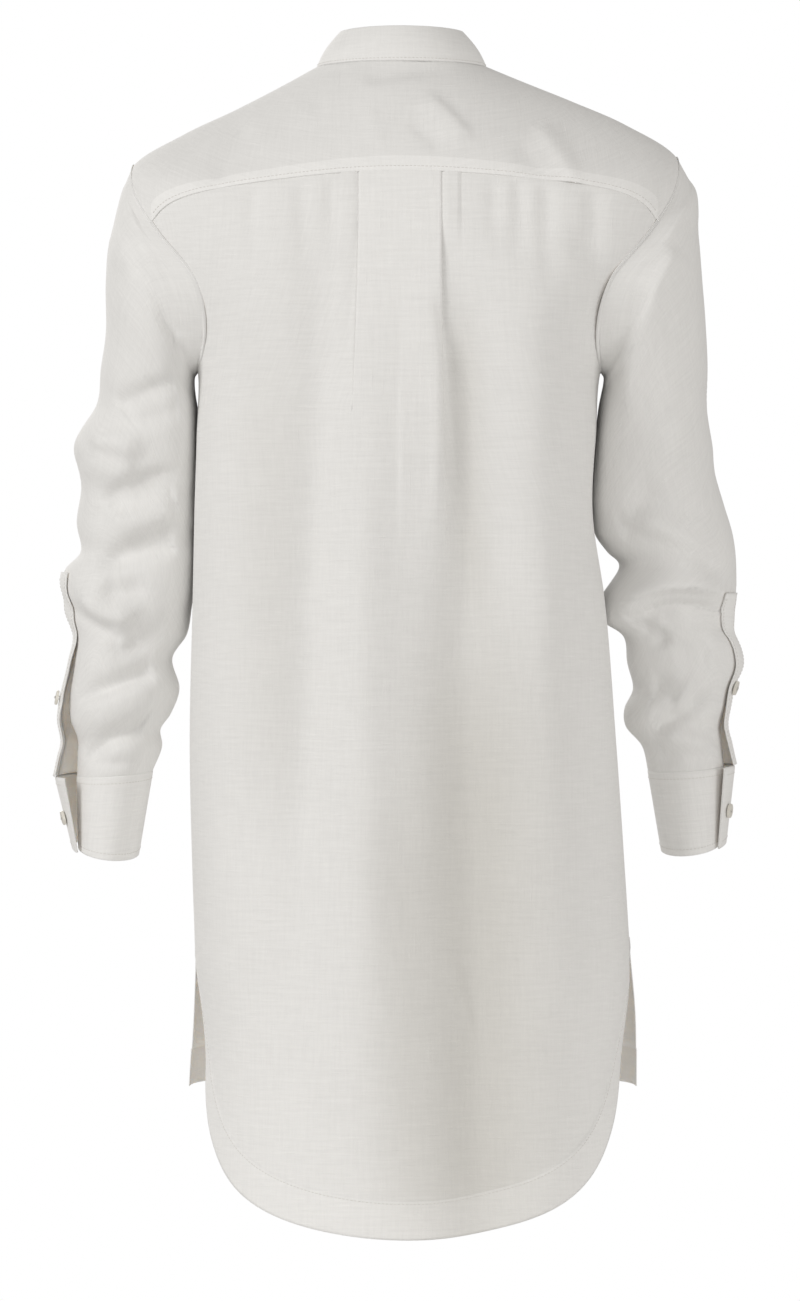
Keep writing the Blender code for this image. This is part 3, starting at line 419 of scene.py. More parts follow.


# The linen's colours, single and doubled. The inside is painted paler and warmer for the light that
# comes through the cloth and bounces inside it; its subsurface lets some light through as well.
OUTSIDE_COLOURS = ((0.890, 0.885, 0.872), (0.950, 0.945, 0.932))
INSIDE_PAINTED_LIGHT_COLOURS = ((0.96, 0.908, 0.85), (0.97, 0.92, 0.865))
LINEN = linen("linen_outside", *OUTSIDE_COLOURS)
LINEN_INSIDE_PAINTED_LIGHT = linen("linen_inside_painted_light", *INSIDE_PAINTED_LIGHT_COLOURS, see_through=1.0)


def run_along(points, axis=0):
    """How far each point lies from the first, along a line or along the rows or columns of a grid."""
    steps = np.linalg.norm(np.diff(points, axis=axis), axis=-1)
    return np.insert(np.cumsum(steps, axis=axis), 0, 0, axis=axis)


def cloth(
    name,
    points,
    middle,
    doubled=0.0,
    painted_shade=0.0,
    thickness=CLOTH,
    joined=0,
    slit=None,
    slit_rows=0,
    upright=False,
):
    """A sheet of cloth over a grid of points, facing away from its middle, as a thin wall.

    In the joined rows the last column is the first one. In the slit rows the faces after the slit's
    column are left out. An upright sheet has its grain straight down, whatever way its rows run.
    Doubled says, from 0 to 1, where two layers lie together; the painted shade says where a fold's
    shade is painted into the colour.
    """
    rows, columns = points.shape[:2]
    index = np.arange(rows * columns).reshape(rows, columns)
    index[:joined, -1] = index[:joined, 0]
    across = run_along(points, axis=1)
    across -= across[:, columns // 2][:, None]
    down = -points[..., 2] if upright else run_along(points)
    grain = np.stack([across, down], axis=-1)

    def corners(grid):
        return np.stack([grid[:-1, :-1], grid[:-1, 1:], grid[1:, 1:], grid[1:, :-1]], axis=2)

    keep = np.ones((rows - 1, columns - 1), bool)
    if slit is not None:
        keep[:slit_rows, slit] = False
    faces, face_grain = corners(index)[keep], corners(grain)[keep]
    places = corners(points)[keep]
    normals = np.cross(places[:, 2] - places[:, 0], places[:, 3] - places[:, 1])
    centre = corners(np.broadcast_to(middle, points.shape))[keep]
    if np.einsum("ij,ij->i", normals, places[:, 0] - centre[:, 0]).sum() < 0:
        faces, face_grain = faces[:, ::-1], face_grain[:, ::-1]
    used, faces = np.unique(faces, return_inverse=True)
    faces = faces.reshape(-1, 4)
    mesh = bpy.data.meshes.new(name)
    mesh.from_pydata(points.reshape(-1, 3)[used].tolist(), [], faces.tolist())
    mesh.uv_layers.new(name="grain").data.foreach_set("uv", face_grain.astype(np.float32).ravel())
    for attribute, values in (("doubled", doubled), ("painted_shade", painted_shade)):
        values = np.broadcast_to(np.asarray(values, np.float32), (rows, columns)).ravel()[used]
        mesh.attributes.new(attribute, "FLOAT", "POINT").data.foreach_set("value", values)
    # The outside paint, then the inside one, with its painted light, for the inner faces of the wall
    mesh.materials.append(LINEN)
    mesh.materials.append(LINEN_INSIDE_PAINTED_LIGHT)
    mesh.shade_smooth()
    piece = added(name, mesh)
    wall = piece.modifiers.new("Wall", "SOLIDIFY")
    wall.thickness = thickness
    wall.offset = 0
    wall.material_offset = 1
    wall.use_quality_normals = True
    return piece


def sewn(piece, *nodes):
    """The piece goes with the garment, and takes the place of the solids named."""
    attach(piece, "root")
    if nodes:
        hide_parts(*nodes)


STITCH_PITCH = 0.0030
STITCH_LENGTH = 0.0021
STITCH_RADIUS = 0.00022
# A stitch's rings along its length, as shares of the length, with their shares of the radius
STITCH_STATIONS = (-0.5, -0.32, 0.32, 0.5)
STITCH_GIRTHS = (0.3, 1.0, 1.0, 0.3)
STITCH_SIDES = 5
STITCH_NUDGE = 0.0001
THREAD_COLOURS = ((0.70, 0.685, 0.655), (0.80, 0.785, 0.755))


def thread_material():
    """Off-white sewing thread with a faint twist."""
    material, nodes, links, shader = new_material("thread", 0.6)
    where = nodes.new("ShaderNodeTexCoord")
    twist = nodes.new("ShaderNodeTexWave")
    twist.inputs["Scale"].default_value = 900
    links.new(where.outputs["Object"], twist.inputs["Vector"])
    twisted = tinted(nodes, links, twist.outputs["Fac"], *THREAD_COLOURS)
    links.new(twisted, shader.inputs["Base Color"])
    return material


THREAD = thread_material()


def tube_faces(rings, sides, first=0):
    """Faces of a closed tube whose rings of points follow one another."""
    faces = []
    for s in range(rings - 1):
        for k in range(sides):
            a, b = first + s * sides + k, first + s * sides + (k + 1) % sides
            faces.append((a, b, b + sides, a + sides))
    faces.append(tuple(first + k for k in reversed(range(sides))))
    faces.append(tuple(first + (rings - 1) * sides + k for k in range(sides)))
    return faces


def thread_piece(name, places, faces):
    """Lengths of thread as one object, from their rings of points and their faces."""
    mesh = bpy.data.meshes.new(name)
    mesh.from_pydata(np.concatenate(places).tolist(), [], faces)
    mesh.materials.append(THREAD)
    mesh.shade_smooth()
    return added(name, mesh)


def at_places(values, run, at):
    """Points or ways of a line at distances along it."""
    return np.stack([np.interp(at, run, values[:, k]) for k in range(3)], axis=1)


def stitches(name, *lines):
    """Rows of machine stitches. Each line is a pair: points along it, and the way out at each."""
    ring = np.linspace(0, math.tau, STITCH_SIDES + 1)[:-1]
    stations = np.array(STITCH_STATIONS) * STITCH_LENGTH
    girth = np.array(STITCH_GIRTHS) * STITCH_RADIUS
    places, faces, count = [], [], 0
    for line, ways_out in lines:
        run = run_along(line)
        at = np.arange(STITCH_PITCH, run[-1] - STITCH_PITCH / 2, STITCH_PITCH)
        if not len(at):
            continue
        centres = at_places(line, run, at)
        outs = unit(at_places(ways_out, run, at))
        forward = unit(at_places(line, run, at + STITCH_NUDGE) - centres)
        aside = unit(np.cross(forward, outs))
        for centre, ahead_way, side_way, out_way in zip(centres, forward, aside, outs):
            for station, radius in zip(stations, girth):
                arch = (1 - (2 * station / STITCH_LENGTH) ** 2) * STITCH_RADIUS
                hub = centre + ahead_way * station + out_way * arch
                spokes = np.cos(ring)[:, None] * side_way + np.sin(ring)[:, None] * out_way
                places.append(hub + spokes * radius)
            faces += tube_faces(len(stations), STITCH_SIDES, count)
            count += len(stations) * STITCH_SIDES
    sewn(thread_piece(name, places, faces))


def outer_face(points, middle, thickness):
    """Points on the outside of a sheet, away from its middle, and the way out at each."""
    across = np.gradient(points, axis=1)
    down = np.gradient(points, axis=0)
    ways = unit(np.cross(across, down))
    ways = ways * np.sign(np.einsum("rci,rci->rc", ways, points - middle).sum())
    return points + ways * thickness / 2, ways


def stitched(name, points, middle, thickness, *spans):
    """Rows of stitches on the outside of a sheet, along spans of its grid."""
    faces, ways = outer_face(points, middle, thickness)
    stitches(name, *((faces[span], ways[span]) for span in spans))


yoke_end = armhole_turn(YOKE_BACK_ANGLE)[0]
yoke_arm = armhole_turn(np.linspace(YOKE_BACK_ANGLE, -YOKE_FRONT_ANGLE, YOKE_ARMHOLE_COLUMNS))
yoke_back = np.linspace(-yoke_end, yoke_end, YOKE_SEAM_COLUMNS)[1:-1]
yoke_turns = np.concatenate([-yoke_arm[0][::-1], yoke_back, yoke_arm[0]])
yoke_edges = np.concatenate([yoke_arm[1][::-1], yoke_seam_level(yoke_back), yoke_arm[1]])
yoke_behind = ease(yoke_end - np.abs(yoke_turns), 0.0, YOKE_SEAM_FADE)
yoke_band = YOKE_BAND * yoke_behind + YOKE_BAND_LEAST
yoke_main = np.linspace(0, 1, YOKE_ROWS)[:, None] * (yoke_edges - yoke_band)[None, :]
yoke_seam_rows = [(yoke_edges - yoke_band * share)[None, :] for share in YOKE_BAND_SHARES]
yoke_levels = np.concatenate([yoke_main, *yoke_seam_rows])
yoke_skin = body_skin(yoke_turns[None, :], yoke_levels)
yoke_out = crease_heights(yoke_skin, YOKE_CREASES) * (np.abs(yoke_turns) < math.pi / 2)
yoke_out[-2:] -= np.array(YOKE_EDGE_IN)[:, None] * yoke_behind
yoke_points = body_point(yoke_turns[None, :], yoke_levels, yoke_out)
yoke_doubled = np.zeros(yoke_levels.shape)
yoke_doubled[-len(YOKE_BAND_SHARES):] = yoke_behind
yoke = cloth("yoke_linen", yoke_points, YOKE_MIDDLE, yoke_doubled)
sewn(yoke, "yoke")
# The stitches run a quarter of the way from the third last row to the next
yoke_faces, yoke_ways = outer_face(yoke_points, YOKE_MIDDLE, CLOTH)
yoke_span = np.flatnonzero(np.abs(yoke_turns) < yoke_end * YOKE_STITCHED)
yoke_step = (yoke_points[-2, yoke_span] - yoke_points[-3, yoke_span]) / 4
stitches("stitch_yoke_seam", (yoke_faces[-3, yoke_span] + yoke_step, yoke_ways[-3, yoke_span]))

# Back. One sheet of linen eased to the yoke, with a raised box pleat in the middle that is sewn down
# for its first 70 mm, and a shirt-tail hem turned up 29 mm wide and stitched along its upper edge.
SLIT_TOP = 0.6700
BACK_HEM = 0.8920
HEM_CORNER = {"left": 2.1, "right": 1.75}
HEM_MIDDLE = -0.045
HEM_WIDTH = 0.0290
HEM_STEP = 0.0005
# Along a steep hem the band is no higher than this, nor than a share of the way down from the slit
# and a little more
HEM_REACH_MOST = 0.100
HEM_REACH_SHARE = 0.6
HEM_REACH_LEAST = 0.004
PLEAT_HALF = 0.0310
PLEAT_UNDER = 0.0220
PLEAT_TURN = 0.0016
PLEAT_TOP = 0.0016
LAYER_STEP = 0.0020
PLEAT_SPREAD = (0.0360, 0.0560)
PLEAT_BLEND = (0.045, 0.105)
PLEAT_OPENS = {"left": (0.100, 0.360), "right": (0.140, 0.480)}
PLEAT_SMOOTHS = (0.42, 0.86)
# Past the pleat's edge its lowest layer comes up to the sheet in two steps, wider once it is open
PLEAT_RISE = (0.010, 0.022)
PLEAT_RISE_OPEN = 0.024
PLEAT_COLUMNS = 66
PLEAT_CLEAR = 0.0004
PLAIN_COLUMNS = 42
PLAIN_END = 0.1860
SLIT_CURL = 0.0120
SLIT_CURL_BELOW = 0.1000
SLIT_CURL_TURNS = (math.radians(20), math.radians(65))
BACK_TOP_HALF = 0.1900
SIDE_RADIUS = 0.1200
SEAM_TUCK = 0.0035
SEAM_TUCK_IN = 0.0013
SEAM_TUCK_ENDS = 0.0040
# The sewn-down pleat is pressed to this share of its height and a little in, and let go lower down
PLEAT_PRESS = 0.45
PLEAT_PRESS_IN = 0.0003
PLEAT_PRESS_PAST = (-0.002, 0.006)
PLEAT_HELD = (0.0300, 0.0720)
# How far below the yoke seam the puckers and the folds come in
PUCKERS_START = (0.001, 0.012)
FOLDS_START = (0.002, 0.040)
BACK_ARMHOLE_ROWS = 44
BACK_ROWS = 140
# The first rows, by their level below the yoke seam, and how far each lies in
SEAM_ROWS = (-0.0030, -0.0003, 0.0007)
SEAM_ROWS_IN = (0.0009, 0.0006, 0.0002)
# The hem band's rows as shares of its width above the hem, the stitched one second
BAND_SHARES = (0.985, *np.linspace(0.93, 0.0, 13))
# How much paler two or more layers look: a turned-up hem and the folded pleat
HEM_PALER = 0.35
PLEAT_PALER = 0.55
BACK_MIDDLE = np.array([0, 0, -0.45])
SIDES = {"left": 1, "right": -1}
# Broad folds of the back: where each starts and ends, its half width and its height
FOLD_COLUMNS = ("top_x", "top_level", "low_x", "low_level", "width", "height")
# Where along a fold its ends fade, as shares of its length
FOLD_STARTS = (-0.15, 0.25)
FOLD_ENDS = (0.75, 1.15)
BACK_FOLDS = (
    (-0.0470, 0.170, -0.0500, 0.440, 0.0170, -0.0085),
    (-0.0490, 0.380, -0.0660, 0.930, 0.0320, -0.0190),
    (0.0260, 0.240, 0.0320, 0.780, 0.0240, 0.0100),
    (-0.1000, 0.170, -0.1080, 0.480, 0.0260, 0.0100),
    (0.0570, 0.100, 0.0820, 0.660, 0.0200, -0.0095),
    (0.1250, 0.200, 0.1240, 0.760, 0.0240, 0.0040),
    (-0.1420, 0.480, -0.1480, 0.700, 0.0160, -0.0035),
)
# Places where shade is painted into the single cloth, where it stands off in the broad folds, in the
# folds' columns
PAINTED_SHADE_PLACES = (
    (-0.0450, 0.190, -0.0560, 0.420, 0.0160, 0.60),
    (-0.0560, 0.420, -0.0640, 1.000, 0.0520, 1.00),
    (0.1000, 0.220, 0.0980, 0.560, 0.0260, 0.30),
    (0.0050, 0.560, -0.0060, 0.900, 0.0260, 0.35),
)
# Small puckers where the back is eased to the yoke, in the same columns, fading between their levels
PUCKERS = (
    (0.1120, 0.090, 0.1130, 0.195, 0.0080, -0.0036),
    (0.0740, 0.085, 0.0750, 0.190, 0.0070, -0.0030),
    (0.0530, 0.085, 0.0535, 0.170, 0.0050, -0.0026),
    (-0.0710, 0.085, -0.0720, 0.165, 0.0060, -0.0024),
    (-0.0900, 0.088, -0.0910, 0.190, 0.0060, -0.0030),
    (-0.1110, 0.090, -0.1120, 0.200, 0.0070, -0.0034),
    (-0.1470, 0.100, -0.1460, 0.185, 0.0080, -0.0034),
)
BACK_CREASES = (
    (0.036, -0.300, 0.034, -0.420, 0.036, -0.560, 0.010, 0.014, 0.0022),
    (-0.026, -0.180, -0.034, -0.215, -0.039, -0.260, 0.004, 0.009, -0.0022),
    (-0.027, -0.200, -0.028, -0.290, -0.026, -0.360, 0.005, 0.008, 0.0020),
    (-0.038, -0.670, -0.049, -0.712, -0.060, -0.745, 0.012, 0.005, 0.0016),
    (-0.146, -0.622, -0.158, -0.614, -0.170, -0.606, 0.010, 0.006, -0.0020),
    (-0.120, -0.140, -0.150, -0.160, -0.152, -0.240, 0.012, 0.012, -0.0030),
    (0.125, -0.140, 0.138, -0.180, 0.142, -0.260, 0.012, 0.014, -0.0018),
    (0.080, -0.420, 0.090, -0.540, 0.086, -0.680, 0.020, 0.016, 0.0014),
    (-0.095, -0.360, -0.110, -0.470, -0.112, -0.600, 0.018, 0.014, 0.0016),
    (0.010, -0.600, 0.004, -0.700, 0.012, -0.820, 0.022, 0.016, 0.0016),
    (-0.100, -0.700, -0.085, -0.780, -0.088, -0.850, 0.020, 0.014, 0.0014),
    (0.090, -0.720, 0.070, -0.790, 0.062, -0.860, 0.018, 0.020, 0.0012),
)


def folds_out(rows, x, level):
    """Height of all the folds at a place, from a table with the folds' columns."""
    total = np.zeros(np.broadcast(x, level).shape)
    for row in rows:
        f = dict(zip(FOLD_COLUMNS, row))
        share = (level - f["top_level"]) / (f["low_level"] - f["top_level"])
        line_x = f["top_x"] + (f["low_x"] - f["top_x"]) * share
        fade = ease(share, *FOLD_STARTS) * (1 - ease(share, *FOLD_ENDS))
        total = total + f["height"] * fade * np.exp(-(((x - line_x) / f["width"]) ** 2))
    return total


def puckers_out(x, level):
    """Depth of the small eased puckers, greatest at the yoke seam."""
    total = np.zeros(np.broadcast(x, level).shape)
    for row in PUCKERS:
        p = dict(zip(FOLD_COLUMNS, row))
        fade = 1 - ease(level, p["top_level"], p["low_level"])
        total = total + p["height"] * fade * np.exp(-(((x - p["top_x"]) / p["width"]) ** 2))
    return total


def turn_at_x(x, level, front=False):
    """The turn at which the section has this x."""
    half = np.where(x >= 0, body_at("left", level), body_at("right", level))
    square = body_at("square", level)
    share = np.clip(np.abs(x) / half, 0, 0.98)
    turn = np.sign(x) * np.arctan2(share, (1 - share**square) ** (1 / square))
    return math.pi - turn if front else turn


def back_hem_level(turn):
    """The shirt-tail hem: steep down the slits, round at the corners and level at the centre."""
    aside = turn - HEM_MIDDLE
    reach = math.pi / 2 - np.sign(aside) * HEM_MIDDLE
    corner = np.where(aside > 0, HEM_CORNER["left"], HEM_CORNER["right"])
    share = (1 - np.clip(np.abs(aside) / reach, 0, 1) ** 2) ** (1 / corner)
    return SLIT_TOP + (BACK_HEM - SLIT_TOP) * share


# The hem's slope at each turn, which makes its turned-up band as wide at the corners as below
hem_turns = np.linspace(-math.pi / 2, math.pi / 2, 721)
hem_levels = back_hem_level(hem_turns)
hem_places = body_skin(hem_turns, np.full(hem_turns.shape, BACK_HEM))
hem_slope = np.gradient(hem_levels, run_along(hem_places))
hem_reach = np.minimum(HEM_WIDTH * np.sqrt(1 + hem_slope**2), HEM_REACH_MOST)
hem_most = HEM_REACH_SHARE * (hem_levels - SLIT_TOP) + HEM_REACH_LEAST
hem_reach = np.minimum(hem_reach, hem_most)


def pleat_columns():
    """Columns from the centre out: place across, with the pleat shut and open, and shut height."""
    top, base, middle = PLEAT_TOP, PLEAT_TOP - 2 * LAYER_STEP, PLEAT_TOP - LAYER_STEP
    half, inner = PLEAT_HALF, PLEAT_HALF - PLEAT_UNDER
    shut = np.array([
        (0.0, top),
        (half * 0.5, top),
        (half - PLEAT_TURN, top),
        (half - PLEAT_TURN * 0.3, top - LAYER_STEP * 0.2),
        (half, (top + middle) / 2),
        (half - PLEAT_TURN * 0.3, middle + LAYER_STEP * 0.2),
        (half - PLEAT_TURN, middle),
        (inner + PLEAT_TURN, middle),
        (inner, (middle + base) / 2),
        (inner + PLEAT_TURN, base),
        (half - PLEAT_TURN, base),
        (half + PLEAT_RISE[0], base * 0.45),
        (half + PLEAT_RISE[1], 0.0),
    ])
    run = run_along(shut)
    open_ends = (0, *PLEAT_SPREAD, PLEAT_SPREAD[1] + PLEAT_RISE_OPEN)
    open_x = np.interp(run, (0, run[2], run[-3], run[-1]), open_ends)
    # Even columns, but for those that would crowd the corners of the folds
    even = np.linspace(0, run[-1], PLEAT_COLUMNS)
    clear = np.abs(even[:, None] - run[None, 2:11]).min(axis=1) > PLEAT_CLEAR
    fine = np.sort(np.concatenate([even[clear], run[2:11]]))
    shut_x, shut_out = np.interp(fine, run, shut[:, 0]), np.interp(fine, run, shut[:, 1])
    plain = np.linspace(shut[-1, 0], PLAIN_END, PLAIN_COLUMNS)[1:]
    spread = open_x[-1] - shut[-1, 0]
    far = 1 - (plain - shut[-1, 0]) / (BACK_TOP_HALF - shut[-1, 0])
    return (
        np.concatenate([shut_x, plain])[1:],
        np.concatenate([np.interp(fine, run, open_x), plain + spread * far])[1:],
        np.concatenate([shut_out, np.zeros(len(plain))])[1:],
    )


def back_row(side, edge_turn, level_of):
    """Turns, levels, heights and pleat layers of one row, from beside the centre to its edge."""
    sign = SIDES[side]
    shut_x, open_x, shut_out = pleat_columns()
    shut_x, open_x = sign * shut_x, sign * open_x
    seam_turn = turn_at_x(shut_x, np.full(shut_x.shape, YOKE_DEPTH_ARMHOLE))
    share = np.abs(seam_turn) / yoke_end
    even = share * edge_turn
    turn = even
    for _ in range(3):
        level = level_of(sign, share, turn)
        opened = ease(level, *PLEAT_OPENS[side])
        x = shut_x + (open_x - shut_x) * opened
        mix = ease(np.abs(x), *PLEAT_BLEND)
        turn = np.abs(turn_at_x(x, level)) * (1 - mix) + even * mix
    layers = shut_out * (1 - ease(opened, *PLEAT_SMOOTHS))
    below_seam = level - yoke_seam_level(sign * turn)
    lowest = shut_out < -LAYER_STEP * 0.4
    beyond = ease(np.abs(shut_x) - PLEAT_HALF, *PLEAT_PRESS_PAST) * lowest
    pressed = ((shut_out - PLEAT_TOP) * PLEAT_PRESS - PLEAT_PRESS_IN) * (1 - beyond)
    layers = layers + (pressed - layers) * (1 - ease(below_seam, *PLEAT_HELD))
    curl = SLIT_CURL * ease(level, SLIT_TOP, SLIT_TOP + SLIT_CURL_BELOW)
    layers = layers - curl * ease(turn, *SLIT_CURL_TURNS)
    x = body_skin(sign * turn, level)[..., 0]
    plain = np.abs(shut_x) > PLEAT_HALF
    held = ease(below_seam, *PUCKERS_START)
    folds = folds_out(BACK_FOLDS, x, level) * ease(below_seam, *FOLDS_START)
    out = layers + folds + puckers_out(x, level) * plain * held
    edge_level = level_of(sign, np.ones(1), np.full(1, edge_turn))
    pleated = (np.abs(shut_x) < PLEAT_HALF - 0.0002) * (1 - ease(opened, 0.0, 0.5))
    ends = (edge_turn, edge_level, 0, 0)
    return [np.append(grid, end) for grid, end in zip((turn, level, out, pleated), ends)]


# What gives a row its levels, from the side's sign, the share of the way to the edge and the turn
def at_seam(below):
    """A row along the yoke seam."""
    return lambda sign, share, turn: yoke_seam_level(share * yoke_end) + below


def beside_armhole(down):
    """A row between the seam and the level of the underarm."""

    def level(sign, share, turn):
        seam = yoke_seam_level(share * yoke_end)
        return seam + down * (back_under - seam)

    return level


def above_hem(share_left):
    """A row of the hem band: share 1 is its upper edge, 0 the hem itself."""

    def level(sign, share, turn):
        at = sign * turn
        return back_hem_level(at) - np.interp(at, hem_turns, hem_reach) * share_left

    return level


def below_armhole(down):
    """A row between the underarm and the hem band."""

    def level(sign, share, turn):
        return back_under + down * (above_hem(1)(sign, share, turn) - back_under)

    return level


back_arm = armhole_turn(np.linspace(YOKE_BACK_ANGLE, math.pi, BACK_ARMHOLE_ROWS))
back_under = back_arm[1][-1]
back_downs = (back_arm[1] - back_arm[1][0]) / (back_under - back_arm[1][0])
back_rows = [(back_arm[0][0], at_seam(below)) for below in SEAM_ROWS]
back_rows += [(turn, beside_armhole(down)) for turn, down in zip(back_arm[0][1:], back_downs[1:])]
back_rows += [(math.pi / 2, below_armhole(down)) for down in np.linspace(0, 1, BACK_ROWS)[1:]]
back_rows += [(math.pi / 2, above_hem(share)) for share in BAND_SHARES]
back_grids = [[], [], [], []]
for edge_turn, row_level in back_rows:
    edge_turn = edge_turn - SEAM_GAP / SIDE_RADIUS
    right, left = (back_row(side, edge_turn, row_level) for side in ("right", "left"))
    for grid, r, l, mirror in zip(back_grids, right, left, (-1, 1, 1, 1)):
        grid.append(np.concatenate([mirror * r[::-1], [(mirror * r[0] + l[0]) / 2], l]))
back_turns, back_levels, back_outs, back_pleated = (np.array(grid) for grid in back_grids)
back_skin = body_skin(back_turns, back_levels)
back_outs = back_outs + crease_heights(back_skin, BACK_CREASES)
back_outs[:len(SEAM_ROWS)] -= np.array(SEAM_ROWS_IN)[:, None]
back_outs[-len(BAND_SHARES):] += HEM_STEP
# Seam allowances tucked under the front and into the armholes, above the slits
back_tuck = ease(SLIT_TOP - SEAM_TUCK_ENDS - back_levels[:, [0]], 0, SEAM_TUCK_ENDS)
back_sides = []
for column, sign in ((0, -1), (-1, 1)):
    tucked_turn = back_turns[:, [column]] + sign * back_tuck * SEAM_TUCK / SIDE_RADIUS + sign * 1e-5
    tucked_out = back_outs[:, [column]] - back_tuck * SEAM_TUCK_IN
    back_sides.append((tucked_turn, back_levels[:, [column]], tucked_out))
back_turns, back_levels, back_outs = (
    np.concatenate([first, grid, last], axis=1)
    for first, grid, last in zip(back_sides[0], (back_turns, back_levels, back_outs), back_sides[1])
)
back_doubled = np.pad(back_pleated, ((0, 0), (1, 1))) * PLEAT_PALER
back_doubled[-len(BAND_SHARES):] = np.maximum(back_doubled[-len(BAND_SHARES):], HEM_PALER)
back_points = body_point(back_turns, back_levels, back_outs)
# Painted shade of the broad folds, left off where the cloth lies double
back_painted_shade = np.clip(folds_out(PAINTED_SHADE_PLACES, back_points[..., 0], back_levels), 0, 1)
back_painted_shade *= 1 - back_doubled
back = cloth("back_linen", back_points, BACK_MIDDLE, back_doubled, back_painted_shade, upright=True)
sewn(back, "back")

hem_row = len(back_points) - len(BAND_SHARES) + 1
hem_span = np.flatnonzero(np.abs(back_turns[hem_row]) < math.radians(86))
stitched("stitch_back_hem", back_points, BACK_MIDDLE, CLOTH, (hem_row, hem_span))

# Front. One sheet of linen from the neck to a level hem, slit at the top for the opening. Its sides
# are sewn to the back down to the slits, and its hem is turned up as wide as the back's.
FRONT_HEM = 0.7850
OPENING_DEPTH = 0.2900
OPENING_HALF_CUT = 0.0008
FRONT_TOP = -0.0004
FRONT_TOP_ROWS = 34
FRONT_ARMHOLE_ROWS = 52
FRONT_ROWS = 104
FRONT_COLUMNS = 78
FRONT_BAND_SHARES = (0.985, *np.linspace(0.93, 0, 11))
FRONT_MIDDLE = np.array([0, 0, -0.42])
FRONT_FOLDS = (
    (-0.0800, 0.330, -0.0860, 0.740, 0.0260, -0.0060),
    (0.0850, 0.350, 0.0900, 0.740, 0.0280, -0.0070),
    (0.0450, 0.420, 0.0480, 0.760, 0.0220, 0.0045),
)
FRONT_CREASES = (
    (0.120, -0.150, 0.095, -0.190, 0.060, -0.215, 0.014, 0.009, -0.0028),
    (-0.122, -0.150, -0.100, -0.200, -0.070, -0.235, 0.010, 0.014, -0.0026),
    (0.125, -0.215, 0.105, -0.255, 0.090, -0.320, 0.014, 0.010, -0.0022),
    (-0.130, -0.225, -0.112, -0.270, -0.100, -0.330, 0.010, 0.014, -0.0024),
    (0.012, -0.300, 0.020, -0.400, 0.016, -0.560, 0.014, 0.010, -0.0026),
    (-0.020, -0.310, -0.034, -0.430, -0.030, -0.600, 0.012, 0.018, 0.0020),
    (0.060, -0.060, 0.070, -0.090, 0.066, -0.140, 0.010, 0.012, -0.0014),
    (-0.064, -0.060, -0.076, -0.095, -0.070, -0.150, 0.012, 0.010, -0.0014),
    (0.120, -0.560, 0.112, -0.650, 0.118, -0.730, 0.016, 0.012, 0.0020),
    (-0.128, -0.540, -0.120, -0.640, -0.126, -0.730, 0.012, 0.016, 0.0020),
)

front_arm = armhole_turn(np.linspace(YOKE_FRONT_ANGLE, math.pi, FRONT_ARMHOLE_ROWS))
front_top = np.linspace(FRONT_TOP, front_arm[1][0] - SEAM_GAP, FRONT_TOP_ROWS)
front_below = np.linspace(front_arm[1][-1], FRONT_HEM - HEM_WIDTH, FRONT_ROWS)[1:]
front_below[np.abs(front_below - OPENING_DEPTH).argmin()] = OPENING_DEPTH
front_hem_rows = FRONT_HEM - HEM_WIDTH * np.array(FRONT_BAND_SHARES)
front_levels = np.concatenate([front_top, front_arm[1][1:], front_below, front_hem_rows])
front_edges = np.concatenate([
    np.full(len(front_top), front_arm[0][0]),
    front_arm[0][1:],
    np.full(len(front_below) + len(front_hem_rows), math.pi / 2),
])
front_edges -= SEAM_GAP / SIDE_RADIUS
front_share = np.linspace(0, 1, FRONT_COLUMNS)[1:]
front_cut = OPENING_HALF_CUT / body_at("left", front_levels)
front_half = np.concatenate([front_cut[:, None], front_share * front_edges[:, None]], axis=1)
front_half = math.pi - front_half
front_turns = np.concatenate([-front_half[:, ::-1], front_half], axis=1)
front_grid = np.broadcast_to(front_levels[:, None], front_turns.shape)
front_skin = body_skin(front_turns, front_grid)
front_outs = folds_out(FRONT_FOLDS, front_skin[..., 0], front_grid)
front_outs = front_outs + crease_heights(front_skin, FRONT_CREASES)
front_doubled = np.zeros(front_turns.shape)
front_doubled[-len(front_hem_rows):] = HEM_PALER
front_outs[-len(front_hem_rows):] += HEM_STEP
front_points = body_point(front_turns, front_grid, front_outs)
front = cloth(
    "front_linen",
    front_points,
    FRONT_MIDDLE,
    front_doubled,
    slit=front_turns.shape[1] // 2 - 1,
    slit_rows=int(np.searchsorted(front_levels, OPENING_DEPTH)),
    upright=True,
)
sewn(front, "front")

front_hem_row = len(front_points) - len(front_hem_rows) + 1
stitched("stitch_front_hem", front_points, FRONT_MIDDLE, CLOTH, front_hem_row)

# Front plackets. Two folded strips of linen bind the opening, one lying over the other. Both edges of
# the upper one are stitched, and two short rows across its foot hold the end.
PLACKET_HALF = 0.0150
PLACKET_DEPTH = 0.3080
PLACKET_TOP = 0.0018
PLACKET_EDGE = 0.0006
PLACKET_ROWS = 110
PLACKET_COLUMNS = 18
STRIP_CLOTH = 0.0012
STRIP_PALER = 1.0
PLACKET_MIDDLE = np.array([0, 0, -0.2])
placket_levels = np.linspace(PLACKET_TOP, PLACKET_DEPTH, PLACKET_ROWS)
placket_inner = PLACKET_HALF - PLACKET_EDGE
placket_across = np.linspace(-placket_inner, placket_inner, PLACKET_COLUMNS)
placket_across = np.concatenate([[-PLACKET_HALF], placket_across, [PLACKET_HALF]])
placket_x, placket_level = np.meshgrid(placket_across, placket_levels)
placket_turns = turn_at_x(placket_x, placket_level, front=True)
placket_folds = folds_out(FRONT_FOLDS, placket_x, placket_level)
placket_skin = body_skin(placket_turns, placket_level)
placket_folds = placket_folds + crease_heights(placket_skin, FRONT_CREASES)
